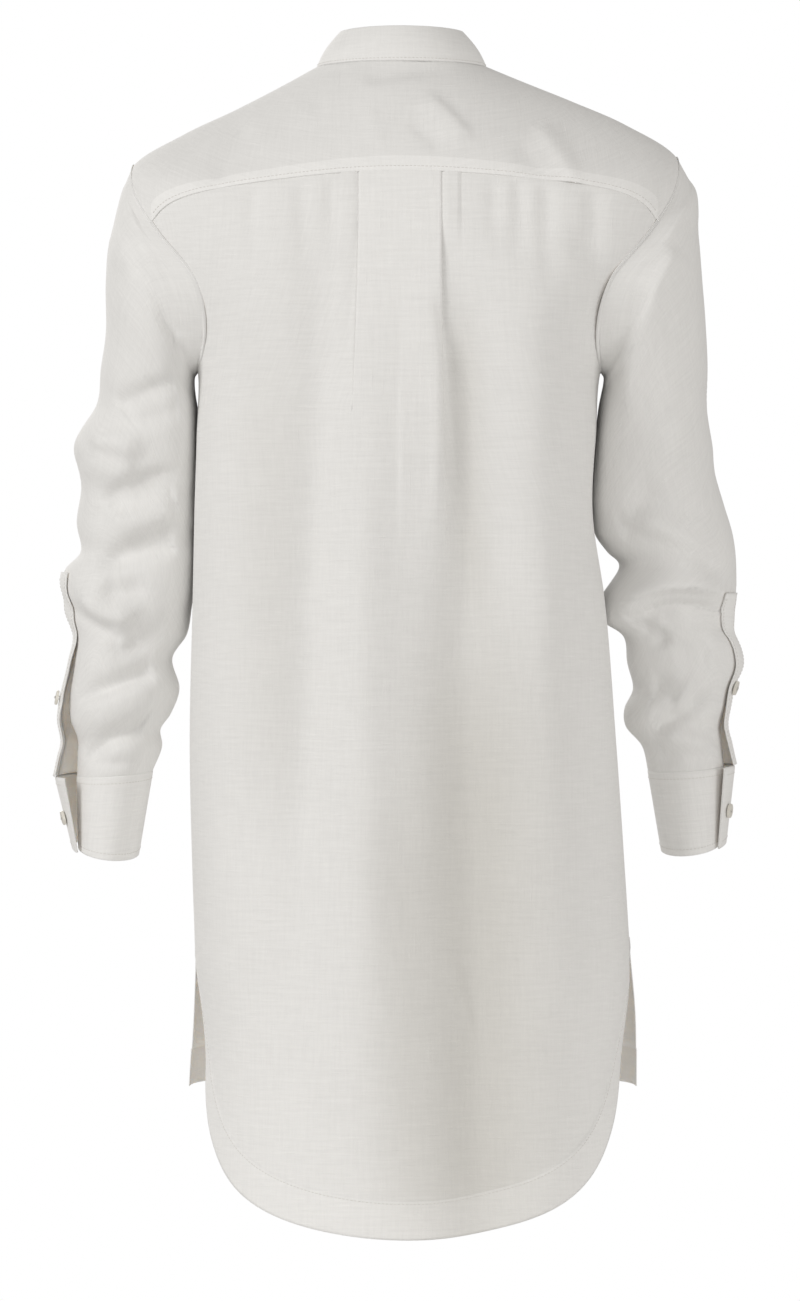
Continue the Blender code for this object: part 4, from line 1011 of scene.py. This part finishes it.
for placket_name, placket_out in (("placket_over", LAYER_STEP), ("placket_under", -LAYER_STEP)):
    placket_points = body_point(placket_turns, placket_level, placket_out + placket_folds)
    placket = cloth(
        f"{placket_name}_linen",
        placket_points,
        PLACKET_MIDDLE,
        STRIP_PALER,
        thickness=STRIP_CLOTH,
        upright=True,
    )
    sewn(placket, placket_name)
    if placket_name == "placket_over":
        rows = [np.s_[:, 2], np.s_[:, -3], np.s_[-3, 2:-2], np.s_[-12, 2:-2]]
        stitched("stitch_placket", placket_points, PLACKET_MIDDLE, STRIP_CLOTH, *rows)

# Collar. A stand band of two layers of linen with a stiffer layer between, sewn to the neck along its
# foot and lapped right over left at the front.
COLLAR_HEIGHT = 0.0265
COLLAR_LEAN_SIDE = 0.0175
COLLAR_LEAN_BACK = 0.0080
COLLAR_LEAN_FRONT = 0.0110
COLLAR_LAP = 0.0140
COLLAR_BOW = 0.0022
COLLAR_CLOTH = 0.0014
COLLAR_RADIUS = 0.0660
# The lapped ends lie this much more than half a layer out or in, and the row below the foot goes in
COLLAR_LAP_OUT = 0.0001
COLLAR_FOOT_IN = 0.0006
# The ends part from the band's line between these turns
COLLAR_LAP_STEPS = (math.pi * 0.6, math.pi * 0.92)
COLLAR_COLUMNS = 220
COLLAR_SHARES = (-0.02, 0.02, 0.06, *np.linspace(0.12, 0.94, 14), 0.98, 1.0)
COLLAR_MIDDLE = np.array([0, 0, 0.0])
# How much paler the collar and the cuffs look, cut double
BAND_PALER = 0.3


def collar_point(turn, share, out=0.0):
    """The stand collar: share 0 at its foot, 1 at its top edge."""
    foot = body_skin(turn, np.zeros(np.shape(turn)))
    s, c = np.sin(turn), np.cos(turn)
    lean_y = np.where(c >= 0, COLLAR_LEAN_BACK, COLLAR_LEAN_FRONT)
    up = np.full(np.shape(turn), COLLAR_HEIGHT)
    lean = np.stack([-s * COLLAR_LEAN_SIDE, -c * lean_y, up], axis=-1)
    away = np.stack([s, c, np.zeros(np.shape(turn))], axis=-1)
    return foot + lean * np.asarray(share)[..., None] + away * np.asarray(out)[..., None]


collar_lap = COLLAR_LAP / COLLAR_RADIUS
collar_turns = np.linspace(-math.pi - collar_lap, math.pi + collar_lap, COLLAR_COLUMNS)
collar_over, collar_under = (ease(way * collar_turns, *COLLAR_LAP_STEPS) for way in (-1, 1))
collar_turn, collar_share = np.meshgrid(collar_turns, COLLAR_SHARES)
collar_out = (LAYER_STEP / 2 + COLLAR_LAP_OUT) * (collar_over - collar_under)
collar_out = collar_out + COLLAR_BOW * np.sin(math.pi * np.clip(collar_share, 0, 1))
collar_out -= COLLAR_FOOT_IN * (collar_share < 0)
collar_points = collar_point(collar_turn, collar_share, collar_out)
collar = cloth("collar_linen", collar_points, COLLAR_MIDDLE, BAND_PALER, thickness=COLLAR_CLOTH)
sewn(collar, "collar_band")
stitched("stitch_collar", collar_points, COLLAR_MIDDLE, COLLAR_CLOTH, np.s_[2, 3:-3])

# Sleeves. Each is one sheet of linen joined along the inner arm, set into the armhole and pushed up
# into folds. Its end is slit at the outer side, where the two edges stand open.
# The columns in which the slits are placed, round each sleeve
SLEEVE_SIDES = 20
UNDERARM_LIFT = 0.0013
# The sleeve starts a little inside the armhole, and its seam allowance goes further in
SLEEVE_START_IN = 0.0004
SLEEVE_TUCK = (0.0035, 0.0016)
# A section more lies this share of the way from the armhole to the first one
HEAD_SHARE = 0.50
# Points of each sleeve's sections, by place outside and next to the body, with middle and half depth
SLEEVE_COLUMNS = ("outer_x", "outer_z", "inner_x", "inner_z", "centre_y", "half_depth")
SLEEVE_ROWS = {
    "left": (
        (0.2145, -0.0990, 0.1590, -0.2380, -0.0040, 0.0820),
        (0.2220, -0.1310, 0.1595, -0.2440, -0.0060, 0.0795),
        (0.2264, -0.1660, 0.1590, -0.2520, -0.0110, 0.0760),
        (0.2267, -0.2030, 0.1575, -0.2640, -0.0180, 0.0725),
        (0.2310, -0.2320, 0.1568, -0.2790, -0.0250, 0.0695),
        (0.2345, -0.2600, 0.1562, -0.2960, -0.0310, 0.0665),
        (0.2520, -0.2900, 0.1564, -0.3170, -0.0350, 0.0645),
        (0.2465, -0.3200, 0.1570, -0.3390, -0.0380, 0.0610),
        (0.2505, -0.3496, 0.1577, -0.3610, -0.0400, 0.0605),
        (0.2475, -0.3727, 0.1582, -0.3810, -0.0420, 0.0595),
        (0.2605, -0.3890, 0.1590, -0.3990, -0.0440, 0.0615),
        (0.2591, -0.4143, 0.1620, -0.4150, -0.0460, 0.0595),
        (0.2514, -0.4380, 0.1660, -0.4366, -0.0490, 0.0540),
        (0.2530, -0.4580, 0.1775, -0.4560, -0.0510, 0.0510),
        (0.2570, -0.4860, 0.1720, -0.4790, -0.0540, 0.0510),
        (0.2565, -0.5020, 0.1785, -0.4980, -0.0570, 0.0470),
        (0.2510, -0.5180, 0.1870, -0.5110, -0.0600, 0.0440),
        (0.2510, -0.5320, 0.1860, -0.5250, -0.0630, 0.0445),
        (0.2514, -0.5475, 0.1935, -0.5436, -0.0660, 0.0410),
    ),
    "right": (
        (0.2285, -0.0990, 0.1580, -0.2380, -0.0040, 0.0820),
        (0.2300, -0.1300, 0.1580, -0.2430, -0.0060, 0.0795),
        (0.2325, -0.1620, 0.1570, -0.2500, -0.0110, 0.0760),
        (0.2355, -0.1950, 0.1550, -0.2620, -0.0180, 0.0725),
        (0.2375, -0.2350, 0.1525, -0.2820, -0.0260, 0.0690),
        (0.2345, -0.2620, 0.1505, -0.3010, -0.0310, 0.0665),
        (0.2410, -0.2900, 0.1485, -0.3220, -0.0350, 0.0640),
        (0.2440, -0.3130, 0.1480, -0.3430, -0.0380, 0.0620),
        (0.2510, -0.3370, 0.1520, -0.3600, -0.0400, 0.0610),
        (0.2580, -0.3600, 0.1610, -0.3727, -0.0420, 0.0600),
        (0.2605, -0.3800, 0.1705, -0.3850, -0.0440, 0.0595),
        (0.2605, -0.4050, 0.1560, -0.4090, -0.0450, 0.0615),
        (0.2585, -0.4220, 0.1560, -0.4250, -0.0470, 0.0600),
        (0.2610, -0.4400, 0.1740, -0.4385, -0.0490, 0.0540),
        (0.2640, -0.4600, 0.1771, -0.4590, -0.0520, 0.0510),
        (0.2565, -0.4780, 0.1817, -0.4790, -0.0550, 0.0480),
        (0.2530, -0.4930, 0.1752, -0.4950, -0.0570, 0.0470),
        (0.2490, -0.5080, 0.1765, -0.5090, -0.0600, 0.0445),
        (0.2505, -0.5230, 0.1890, -0.5240, -0.0630, 0.0435),
        (0.2525, -0.5400, 0.1940, -0.5436, -0.0660, 0.0410),
    ),
}
# How far a section is lower behind than in front, by its height
BACK_DROPS = ((-0.450, 0.0), (-0.545, 0.0020), (-0.606, 0.0070))
# Broad troughs round the sleeves: angle 0 is outside, 90 behind, 180 next to the body. A share of each
# depth is used, and less next to the body.
TROUGH_SHARE = {"left": 0.68, "right": 0.70}
TROUGH_SHARE_INNER = 0.25
TROUGHS_INNER_FROM = -0.6
TROUGH_STARTS = (0, 3)
TROUGH_ENDS = (0.75, 1.0)
TROUGH_COLUMNS = ("middle_z", "angle", "rise", "width", "reach", "depth")
TROUGHS = {
    "left": (
        (-0.185, 100, -0.055, 0.0120, 45, -0.0050),
        (-0.268, 110, 0.012, 0.0090, 70, -0.0045),
        (-0.337, 100, 0.010, 0.0100, 70, -0.0055),
        (-0.372, 110, 0.014, 0.0080, 70, -0.0055),
        (-0.430, 60, -0.020, 0.0080, 60, -0.0055),
        (-0.474, 90, 0.014, 0.0080, 70, -0.0045),
        (-0.512, 100, 0.020, 0.0080, 70, -0.0045),
        (-0.300, 280, -0.010, 0.0100, 60, -0.0045),
        (-0.390, 270, 0.012, 0.0090, 70, -0.0060),
        (-0.450, 290, -0.012, 0.0090, 60, -0.0050),
    ),
    "right": (
        (-0.170, 100, -0.060, 0.0120, 45, -0.0050),
        (-0.362, 110, 0.024, 0.0090, 60, -0.0060),
        (-0.428, 80, 0.006, 0.0080, 75, -0.0070),
        (-0.470, 100, -0.010, 0.0080, 60, -0.0040),
        (-0.500, 90, 0.020, 0.0080, 65, -0.0045),
        (-0.530, 90, 0.008, 0.0070, 70, -0.0045),
        (-0.310, 280, -0.010, 0.0100, 60, -0.0045),
        (-0.385, 270, 0.012, 0.0090, 70, -0.0060),
        (-0.455, 290, -0.012, 0.0090, 60, -0.0050),
    ),
}
SLEEVE_CREASES = {
    "left": (
        (0.214, -0.124, 0.203, -0.164, 0.156, -0.212, 0.010, 0.005, 0.0026),
        (0.216, -0.150, 0.196, -0.182, 0.158, -0.222, 0.007, 0.010, -0.0024),
        (0.200, -0.120, 0.178, -0.150, 0.158, -0.178, 0.010, 0.008, -0.0030),
        (0.218, -0.263, 0.200, -0.254, 0.160, -0.243, 0.009, 0.006, -0.0045),
        (0.240, -0.293, 0.220, -0.290, 0.198, -0.306, 0.006, 0.010, 0.0045),
        (0.232, -0.338, 0.205, -0.322, 0.160, -0.312, 0.012, 0.005, -0.0050),
        (0.245, -0.300, 0.222, -0.313, 0.200, -0.312, 0.010, 0.008, 0.0030),
        (0.238, -0.385, 0.200, -0.368, 0.160, -0.352, 0.010, 0.006, -0.0050),
        (0.230, -0.352, 0.198, -0.345, 0.165, -0.332, 0.010, 0.008, 0.0030),
        (0.247, -0.392, 0.226, -0.424, 0.196, -0.414, 0.005, 0.008, 0.0050),
        (0.232, -0.402, 0.212, -0.404, 0.190, -0.398, 0.006, 0.008, -0.0030),
        (0.222, -0.432, 0.214, -0.438, 0.216, -0.452, 0.003, 0.006, 0.0025),
        (0.228, -0.444, 0.204, -0.446, 0.172, -0.420, 0.010, 0.006, -0.0025),
        (0.252, -0.488, 0.215, -0.476, 0.178, -0.462, 0.004, 0.008, -0.0048),
        (0.246, -0.505, 0.215, -0.497, 0.180, -0.490, 0.008, 0.008, 0.0016),
        (0.248, -0.532, 0.222, -0.518, 0.186, -0.508, 0.005, 0.007, -0.0036),
        (0.244, -0.524, 0.228, -0.538, 0.200, -0.536, 0.004, 0.008, -0.0025),
    ),
    "right": (
        (-0.216, -0.100, -0.196, -0.122, -0.158, -0.165, 0.008, 0.004, 0.0050),
        (-0.222, -0.112, -0.205, -0.138, -0.168, -0.172, 0.005, 0.008, -0.0045),
        (-0.214, -0.142, -0.196, -0.160, -0.176, -0.186, 0.008, 0.008, 0.0025),
        (-0.150, -0.180, -0.158, -0.200, -0.152, -0.222, 0.008, 0.008, -0.0040),
        (-0.165, -0.215, -0.172, -0.240, -0.160, -0.270, 0.008, 0.010, 0.0030),
        (-0.222, -0.238, -0.220, -0.275, -0.196, -0.306, 0.010, 0.014, 0.0030),
        (-0.178, -0.345, -0.205, -0.360, -0.236, -0.385, 0.012, 0.008, 0.0030),
        (-0.175, -0.325, -0.200, -0.335, -0.236, -0.345, 0.010, 0.010, -0.0028),
        (-0.165, -0.425, -0.205, -0.402, -0.258, -0.412, 0.0025, 0.010, 0.0058),
        (-0.166, -0.434, -0.206, -0.414, -0.254, -0.421, 0.008, 0.0025, -0.0058),
        (-0.176, -0.434, -0.196, -0.434, -0.206, -0.450, 0.007, 0.004, -0.0045),
        (-0.164, -0.420, -0.186, -0.424, -0.208, -0.436, 0.006, 0.006, 0.0030),
        (-0.190, -0.474, -0.203, -0.482, -0.216, -0.490, 0.004, 0.008, -0.0035),
        (-0.210, -0.456, -0.228, -0.452, -0.242, -0.450, 0.010, 0.008, -0.0025),
        (-0.192, -0.514, -0.215, -0.500, -0.246, -0.484, 0.005, 0.010, -0.0055),
        (-0.180, -0.494, -0.206, -0.494, -0.236, -0.476, 0.008, 0.010, 0.0020),
        (-0.194, -0.530, -0.218, -0.544, -0.250, -0.536, 0.004, 0.010, -0.0040),
        (-0.196, -0.518, -0.222, -0.520, -0.248, -0.512, 0.008, 0.008, 0.0025),
    ),
}
# Each slit by the column and the row where it starts, its turn down to the cuff in degrees, and how
# far its lapping edge stands off at the start, half way, at the cuff seam and at the cuff's edge
SLITS = {
    "left": {"column": 1, "row": 14, "turn": -20, "stand_off": (0.0, 0.0080, 0.0170, 0.0050)},
    "right": {"column": 2, "row": 15, "turn": -30, "stand_off": (0.0, 0.0020, 0.0080, 0.0045)},
}
SLIT_HALF_ANGLE = math.radians(1.2)
# The creases are made this much higher and wider, and the other sleeve's ones, a little lower down,
# crease the hidden front
CREASE_GAIN = 1.65
CREASE_WIDEN = 1.3
CREASE_DROP = 0.014
# They give way to those of the front past the sleeve's sides, shrink to a tenth next to the body,
# and fade in below the armhole and out above the cuff
SLEEVE_BEHIND = (-0.25, 0.25)
CREASE_INNER = (0.45, 0.9)
CREASE_INNER_CUT = 0.9
SLEEVE_CREASE_STARTS = (1.0, 3.0)
SLEEVE_CREASE_ENDS = (0.88, 1.0)
# Where along the slit, as shares of its length, it turns
SLIT_TURNS = (-1.2, 1.0)
# Behind and next to the body the sleeve lies squarer, from under the armhole to the elbow
BODY_SIDE_SQUARE = 3.0
BODY_SIDE_FROM = (-0.265, -0.205)
BODY_SIDE_TO = (-0.500, -0.430)
# Below the underarm each sleeve swells against the body's side: middle height, half height, swell
BODY_SIDE_SWELL = {"left": (-0.250, 0.034, 0.0018), "right": (-0.252, 0.034, 0.0019)}
SWELL_SIDE = (0.5, 1.0)
SWELL_STARTS = (0.5, 2.2)
LAP_RAMP = math.radians(60)
FINE_ROWS_ABOVE = 200
FINE_ROWS_BELOW = 70
FINE_SIDES = 150


def section_ring(section, sign, angles):
    """One oval section, from its outer and inner points, its middle and its depth."""
    outer = np.array([sign * section["outer_x"], 0, section["outer_z"]])
    inner = np.array([sign * section["inner_x"], 0, section["inner_z"]])
    centre = (outer + inner) / 2 + np.array([0, section["centre_y"], 0])
    across = (outer - inner) / 2
    heights, drops = np.array(BACK_DROPS)[::-1].T
    depth = np.array([0, section["half_depth"], -np.interp(centre[2], heights, drops)])
    c, s = np.cos(angles), np.sin(angles)
    beside = (c < 0) & (s > 0)
    squarer = ease(centre[2], *BODY_SIDE_TO) * (1 - ease(centre[2], *BODY_SIDE_FROM))
    square = 2 + (BODY_SIDE_SQUARE - 2) * squarer * beside
    grow = (np.abs(c) ** square + np.abs(s) ** square) ** (-1 / square)
    return centre + (grow * c)[:, None] * across + (grow * s)[:, None] * depth


def sleeve_ring(side, angles, row):
    """The sleeve's ring at a row, which may lie between two of its sections."""
    sign = SIDES[side]
    turn, level = armhole_turn(angles)
    rings = [body_skin(sign * turn, level)]
    rings += [section_ring(dict(zip(SLEEVE_COLUMNS, r)), sign, angles) for r in SLEEVE_ROWS[side]]
    rings.insert(1, rings[0] * (1 - HEAD_SHARE) + rings[1] * HEAD_SHARE)
    return smooth(np.arange(len(rings)), np.array(rings), row)


def trough_depth(side, angles, z):
    """Depth of the broad troughs at angles round the sleeve and heights down it."""
    total = np.zeros(np.broadcast(angles, z).shape)
    for row in TROUGHS[side]:
        trough = dict(zip(TROUGH_COLUMNS, row))
        away = (angles - math.radians(trough["angle"]) + math.pi) % math.tau - math.pi
        line_z = trough["middle_z"] + trough["rise"] * away
        across = (z - line_z) / trough["width"]
        reach = away / math.radians(trough["reach"])
        total = total + trough["depth"] * np.exp(-(across**2) - reach**4)
    return total


def sleeve_share(side, row):
    """A row's place along the slit: below 0 above it and 1 at the cuff seam."""
    last = len(SLEEVE_ROWS[side]) + 1
    return (row - SLITS[side]["row"]) / (last - SLITS[side]["row"])


def slit_angle(side):
    """Angle of the slit's first edge at its start, from the sleeve's outer side."""
    return math.tau / SLEEVE_SIDES * SLITS[side]["column"]


def lap_push(side, past, share):
    """Outward push near the lapping edge: past is the angle beyond the slit's first edge."""
    top, middle, seam, hem = SLITS[side]["stand_off"]
    ramp = ease(past, math.tau - LAP_RAMP, math.tau)
    return ramp * np.interp(np.clip(share, 0, 2), (0, 0.5, 1, 2), (top, middle, seam, hem))


def sleeve_row(side, row, past, out=0.0):
    """Points at angles past the slit's first edge in one row, folded, and moved out."""
    share = sleeve_share(side, row)
    turn = math.radians(SLITS[side]["turn"]) * ease(share, *SLIT_TURNS)
    turned = slit_angle(side) + past + turn
    if share > 0:
        turned = turned + SLIT_HALF_ANGLE * (1 - 2 * np.clip(past / math.tau, 0, 1))
    ring = sleeve_ring(side, turned, row)
    middle = sleeve_ring(side, np.linspace(0, math.tau, 25)[:-1], row).mean(axis=0)
    away = unit(ring - middle)
    clear = ease(row, *TROUGH_STARTS) * (1 - ease(share, *TROUGH_ENDS))
    push = trough_depth(side, turned % math.tau, ring[:, 2]) * clear * TROUGH_SHARE[side]
    push = np.where(np.cos(turned) < TROUGHS_INNER_FROM, TROUGH_SHARE_INNER, 1.0) * push
    behind = ease(np.sin(turned), *SLEEVE_BEHIND)
    fine = CREASE_GAIN * crease_heights(ring, SLEEVE_CREASES[side], CREASE_WIDEN) * behind
    other = "right" if side == "left" else "left"
    flipped = ring * np.array([-1, 1, 1]) + np.array([0, 0, CREASE_DROP])
    fine = fine + crease_heights(flipped, SLEEVE_CREASES[other], CREASE_WIDEN) * (1 - behind)
    fine = fine * (1 - CREASE_INNER_CUT * ease(-np.cos(turned), *CREASE_INNER))
    fine = fine * ease(row, *SLEEVE_CREASE_STARTS) * (1 - ease(share, *SLEEVE_CREASE_ENDS))
    push = push + fine
    swell_z, swell_half, swell = BODY_SIDE_SWELL[side]
    beside = ease(-np.cos(turned), *SWELL_SIDE) * ease(row, *SWELL_STARTS)
    push = push + swell * beside * np.exp(-(((ring[:, 2] - swell_z) / swell_half) ** 2))
    push = push + lap_push(side, past, share) + out
    return ring + away * push[:, None], middle


def gathered(rows):
    """Grids of the points and of the middles of rows."""
    points, middles = zip(*rows)
    return np.array(points), np.array(middles)[:, None, :]


for side in SIDES:
    slit_row, last_row = SLITS[side]["row"], len(SLEEVE_ROWS[side]) + 1
    fine_rows = np.concatenate([
        np.linspace(0, slit_row, FINE_ROWS_ABOVE),
        np.linspace(slit_row, last_row, FINE_ROWS_BELOW)[1:],
    ])
    past = np.linspace(0, math.tau, FINE_SIDES + 1)
    points, middles = gathered(sleeve_row(side, row, past) for row in fine_rows)
    inward = unit(points[0].mean(axis=0) - points[0])
    angles = slit_angle(side) + past
    turn, level = armhole_turn(angles)
    ways = body_normal(SIDES[side] * turn, level)
    lift = ways * (UNDERARM_LIFT * ease(-np.cos(angles), 0, 1))[:, None]
    points[0] = points[0] + inward * SLEEVE_START_IN + lift
    tucked = points[0] - inward * SLEEVE_TUCK[0] - ways * SLEEVE_TUCK[1]
    points = np.concatenate([tucked[None], points])
    middles = np.concatenate([middles[:1], middles])
    sleeve = cloth(f"sleeve_{side}_linen", points, middles, joined=FINE_ROWS_ABOVE + 1)
    sewn(sleeve, f"sleeve_{side}")

# Sleeve plackets. A folded strip binds the lapping edge of each sleeve's slit and is stitched along
# both its sides.
STRIP_LIFT = 0.0022
STRIP_BEFORE = math.radians(8)
STRIP_AFTER = math.radians(15)
STRIP_COLUMNS = 14
STRIP_ROWS = 60
# The strip starts this many rows above the slit, and ends this part of a row above the cuff seam
STRIP_ABOVE = 2
STRIP_SHORT = 0.10
for side in SIDES:
    slit_row, last_row = SLITS[side]["row"], len(SLEEVE_ROWS[side]) + 1
    past = math.tau + np.linspace(-STRIP_BEFORE, STRIP_AFTER, STRIP_COLUMNS)
    rows = np.linspace(slit_row - STRIP_ABOVE, last_row - STRIP_SHORT, STRIP_ROWS)
    points, middles = gathered(sleeve_row(side, row, past, STRIP_LIFT) for row in rows)
    name = f"sleeve_placket_{side}"
    strip = cloth(f"{name}_linen", points, middles, STRIP_PALER, thickness=STRIP_CLOTH)
    sewn(strip, name)
    stitched(f"stitch_{name}", points, middles, STRIP_CLOTH, np.s_[1:-1, 1], np.s_[1:-1, -2])

# Cuffs. Each is a band of two layers of linen sewn to the sleeve's end, lapped and buttoned at the
# outer side, with a row of stitches near its edges.
CUFF_HEM = {
    "left": (0.2503, -0.6025, 0.2045, -0.6080, -0.0690, 0.0390),
    "right": (0.2495, -0.5985, 0.2045, -0.6050, -0.0690, 0.0390),
}
CUFF_LAP = math.radians(34)
CUFF_CLOTH = 0.0015
# The cuff stands a little out from the sleeve's end, and its first row goes in under it
CUFF_OUT = 0.0002
CUFF_FOOT_IN = -0.0004
CUFF_COLUMNS = 150
CUFF_EDGE_TURNS = (0.01, 0.03)
CUFF_SHARES = (-0.015, 0.012, 0.04, *np.linspace(0.08, 0.95, 32), 0.985, 1.0)


def cuff_row(side, past, share, out=0.0):
    """Points of the cuff at angles past the slit's first edge, at a share of its height."""
    mixed = np.array(SLEEVE_ROWS[side][-1]) * (1 - share) + np.array(CUFF_HEM[side]) * share
    section, sign = dict(zip(SLEEVE_COLUMNS, mixed)), SIDES[side]
    first = slit_angle(side) + math.radians(SLITS[side]["turn"]) + SLIT_HALF_ANGLE
    ring = section_ring(section, sign, first + past)
    middle = section_ring(section, sign, np.linspace(0, math.tau, 13)[:-1]).mean(axis=0)
    push = lap_push(side, past, 1 + share) + out
    return ring + unit(ring - middle) * np.reshape(push, (-1, 1)), middle


for side in SIDES:
    span = math.tau - 2 * SLIT_HALF_ANGLE + CUFF_LAP
    edge, inner = CUFF_EDGE_TURNS
    past = np.linspace(inner, span - inner, CUFF_COLUMNS)
    past = np.concatenate([[0, edge], past, [span - edge, span]])
    outs = [CUFF_FOOT_IN if share < 0 else CUFF_OUT for share in CUFF_SHARES]
    points, middles = gathered(cuff_row(side, past, *at) for at in zip(CUFF_SHARES, outs))
    cuff = cloth(f"cuff_{side}_linen", points, middles, BAND_PALER, thickness=CUFF_CLOTH)
    sewn(cuff, f"cuff_{side}")
    stitched(f"stitch_cuff_{side}", points, middles, CUFF_CLOTH, np.s_[3, 3:-3], np.s_[-4, 3:-3])

# Buttons. Each is a small pale shell button with four holes, sewn on with crossed thread: one on the
# collar, four down the front, one on each sleeve placket and one on each cuff.
BUTTON_RADIUS = 0.0056
BUTTON_THICKNESS = 0.0022
BUTTON_BEVEL = 0.0004
BUTTON_HOLE_RADIUS = 0.0009
BUTTON_HOLE_OFFSET = 0.0014
BUTTON_CORNERS = 56
BUTTON_HOLE_CORNERS = 14
BUTTON_SHARP = math.radians(35)
SHELL_COLOURS = ((0.74, 0.70, 0.62), (0.88, 0.86, 0.80))
# The middle of each forearm, which the cuff and placket buttons face away from
FOREARM_X = 0.215
FOREARM_Y = -0.055
# The thread crosses over the button in two loops, one lying on the other, and ends behind it
LOOP_RADIUS = 0.00035
LOOP_SIDES = 8
LOOP_RISE = 0.0003
LOOP_IN = 0.0002
LOOP_FOOT = 0.0012
LOOP_NARROW = 0.8


def button_material():
    """Pale shell with soft cloudy bands."""
    material, nodes, links, shader = new_material("shell", 0.3)
    shader.inputs["Coat Weight"].default_value = 0.25
    shader.inputs["Coat Roughness"].default_value = 0.2
    where = nodes.new("ShaderNodeTexCoord")
    cloudy = nodes.new("ShaderNodeTexNoise")
    cloudy.inputs["Scale"].default_value = 260
    cloudy.inputs["Distortion"].default_value = 1.4
    links.new(where.outputs["Object"], cloudy.inputs["Vector"])
    clouded = tinted(nodes, links, cloudy.outputs["Fac"], *SHELL_COLOURS)
    links.new(clouded, shader.inputs["Base Color"])
    return material


SHELL = button_material()


def button_mesh():
    """A flat round button with four holes and rounded edges, its face to +Z and its middle at 0."""
    outline = bpy.data.curves.new("button", "CURVE")
    outline.dimensions = "2D"
    outline.fill_mode = "BOTH"
    outline.extrude = BUTTON_THICKNESS / 2 - BUTTON_BEVEL
    outline.bevel_depth = BUTTON_BEVEL
    outline.bevel_resolution = 3
    circles = [(0, 0, BUTTON_RADIUS - BUTTON_BEVEL, BUTTON_CORNERS)]
    for quarter in range(4):
        angle = math.pi / 4 + quarter * math.pi / 2
        across, up = BUTTON_HOLE_OFFSET * math.cos(angle), BUTTON_HOLE_OFFSET * math.sin(angle)
        circles.append((across, up, BUTTON_HOLE_RADIUS, BUTTON_HOLE_CORNERS))
    for across, up, radius, corners in circles:
        spline = outline.splines.new("POLY")
        spline.points.add(corners - 1)
        spline.use_cyclic_u = True
        for i, point in enumerate(spline.points):
            turn = math.tau * i / corners
            point.co = (across + radius * math.cos(turn), up + radius * math.sin(turn), 0, 1)
    drawn = added("button", outline)
    settled = drawn.evaluated_get(bpy.context.evaluated_depsgraph_get())
    plate = bpy.data.meshes.new_from_object(settled)
    bpy.data.objects.remove(drawn)
    return plate


def loop_points(line):
    """Rings of points round a loop of thread."""
    ring = np.linspace(0, math.tau, LOOP_SIDES + 1)[:-1]
    places = []
    for point, way in zip(line, unit(np.gradient(line, axis=0))):
        aside = unit(np.cross(way, (0.2, 0.3, 0.93)))
        spokes = np.cos(ring)[:, None] * aside + np.sin(ring)[:, None] * np.cross(way, aside)
        places.append(point + LOOP_RADIUS * spokes)
    return places


BUTTON_PLATE = button_mesh()
BUTTON_PLATE.materials.clear()
BUTTON_PLATE.materials.append(SHELL)
BUTTON_PLATE.shade_smooth()
BUTTON_PLATE.set_sharp_from_angle(angle=BUTTON_SHARP)
for node_name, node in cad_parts.items():
    if not node_name.startswith("button_"):
        continue
    corners = np.array([v.co for v in node.data.vertices])
    low, high = corners.min(axis=0), corners.max(axis=0)
    middle = (low + high) / 2
    spread = np.linalg.svd(corners - corners.mean(axis=0), full_matrices=False)[2]
    facing = spread[2]
    hub = np.array([0.0, 0.0, middle[2]])
    if "sleeve" in node_name or "cuff" in node_name:
        side = node_name.rsplit("_", 1)[1]
        hub = np.array([SIDES[side] * FOREARM_X, FOREARM_Y, middle[2]])
    if np.dot(facing, middle - hub) < 0:
        facing = -facing
    turned = Vector(facing).to_track_quat("Z", "Y").to_euler()
    button = added(f"{node_name}_shell", BUTTON_PLATE)
    button.location = middle
    button.rotation_euler = turned
    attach(button, "root")
    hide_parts(node_name)
    reach, top = BUTTON_HOLE_OFFSET / math.sqrt(2), BUTTON_THICKNESS / 2
    places, faces = [], []
    for y, rise in ((reach, LOOP_RADIUS), (-reach, 0.0)):
        over = top + LOOP_RISE + rise
        line = np.array([
            (reach, y, -top - LOOP_FOOT),
            (reach, y, top - LOOP_IN),
            (reach * LOOP_NARROW, y * LOOP_NARROW, over),
            (-reach * LOOP_NARROW, -y * LOOP_NARROW, over),
            (-reach, -y, top - LOOP_IN),
            (-reach, -y, -top - LOOP_FOOT),
        ])
        faces += tube_faces(len(line), LOOP_SIDES, len(places) * LOOP_SIDES)
        places += loop_points(line)
    thread = thread_piece(f"{node_name}_thread", places, faces)
    thread.location = middle
    thread.rotation_euler = turned
    sewn(thread)

low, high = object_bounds()
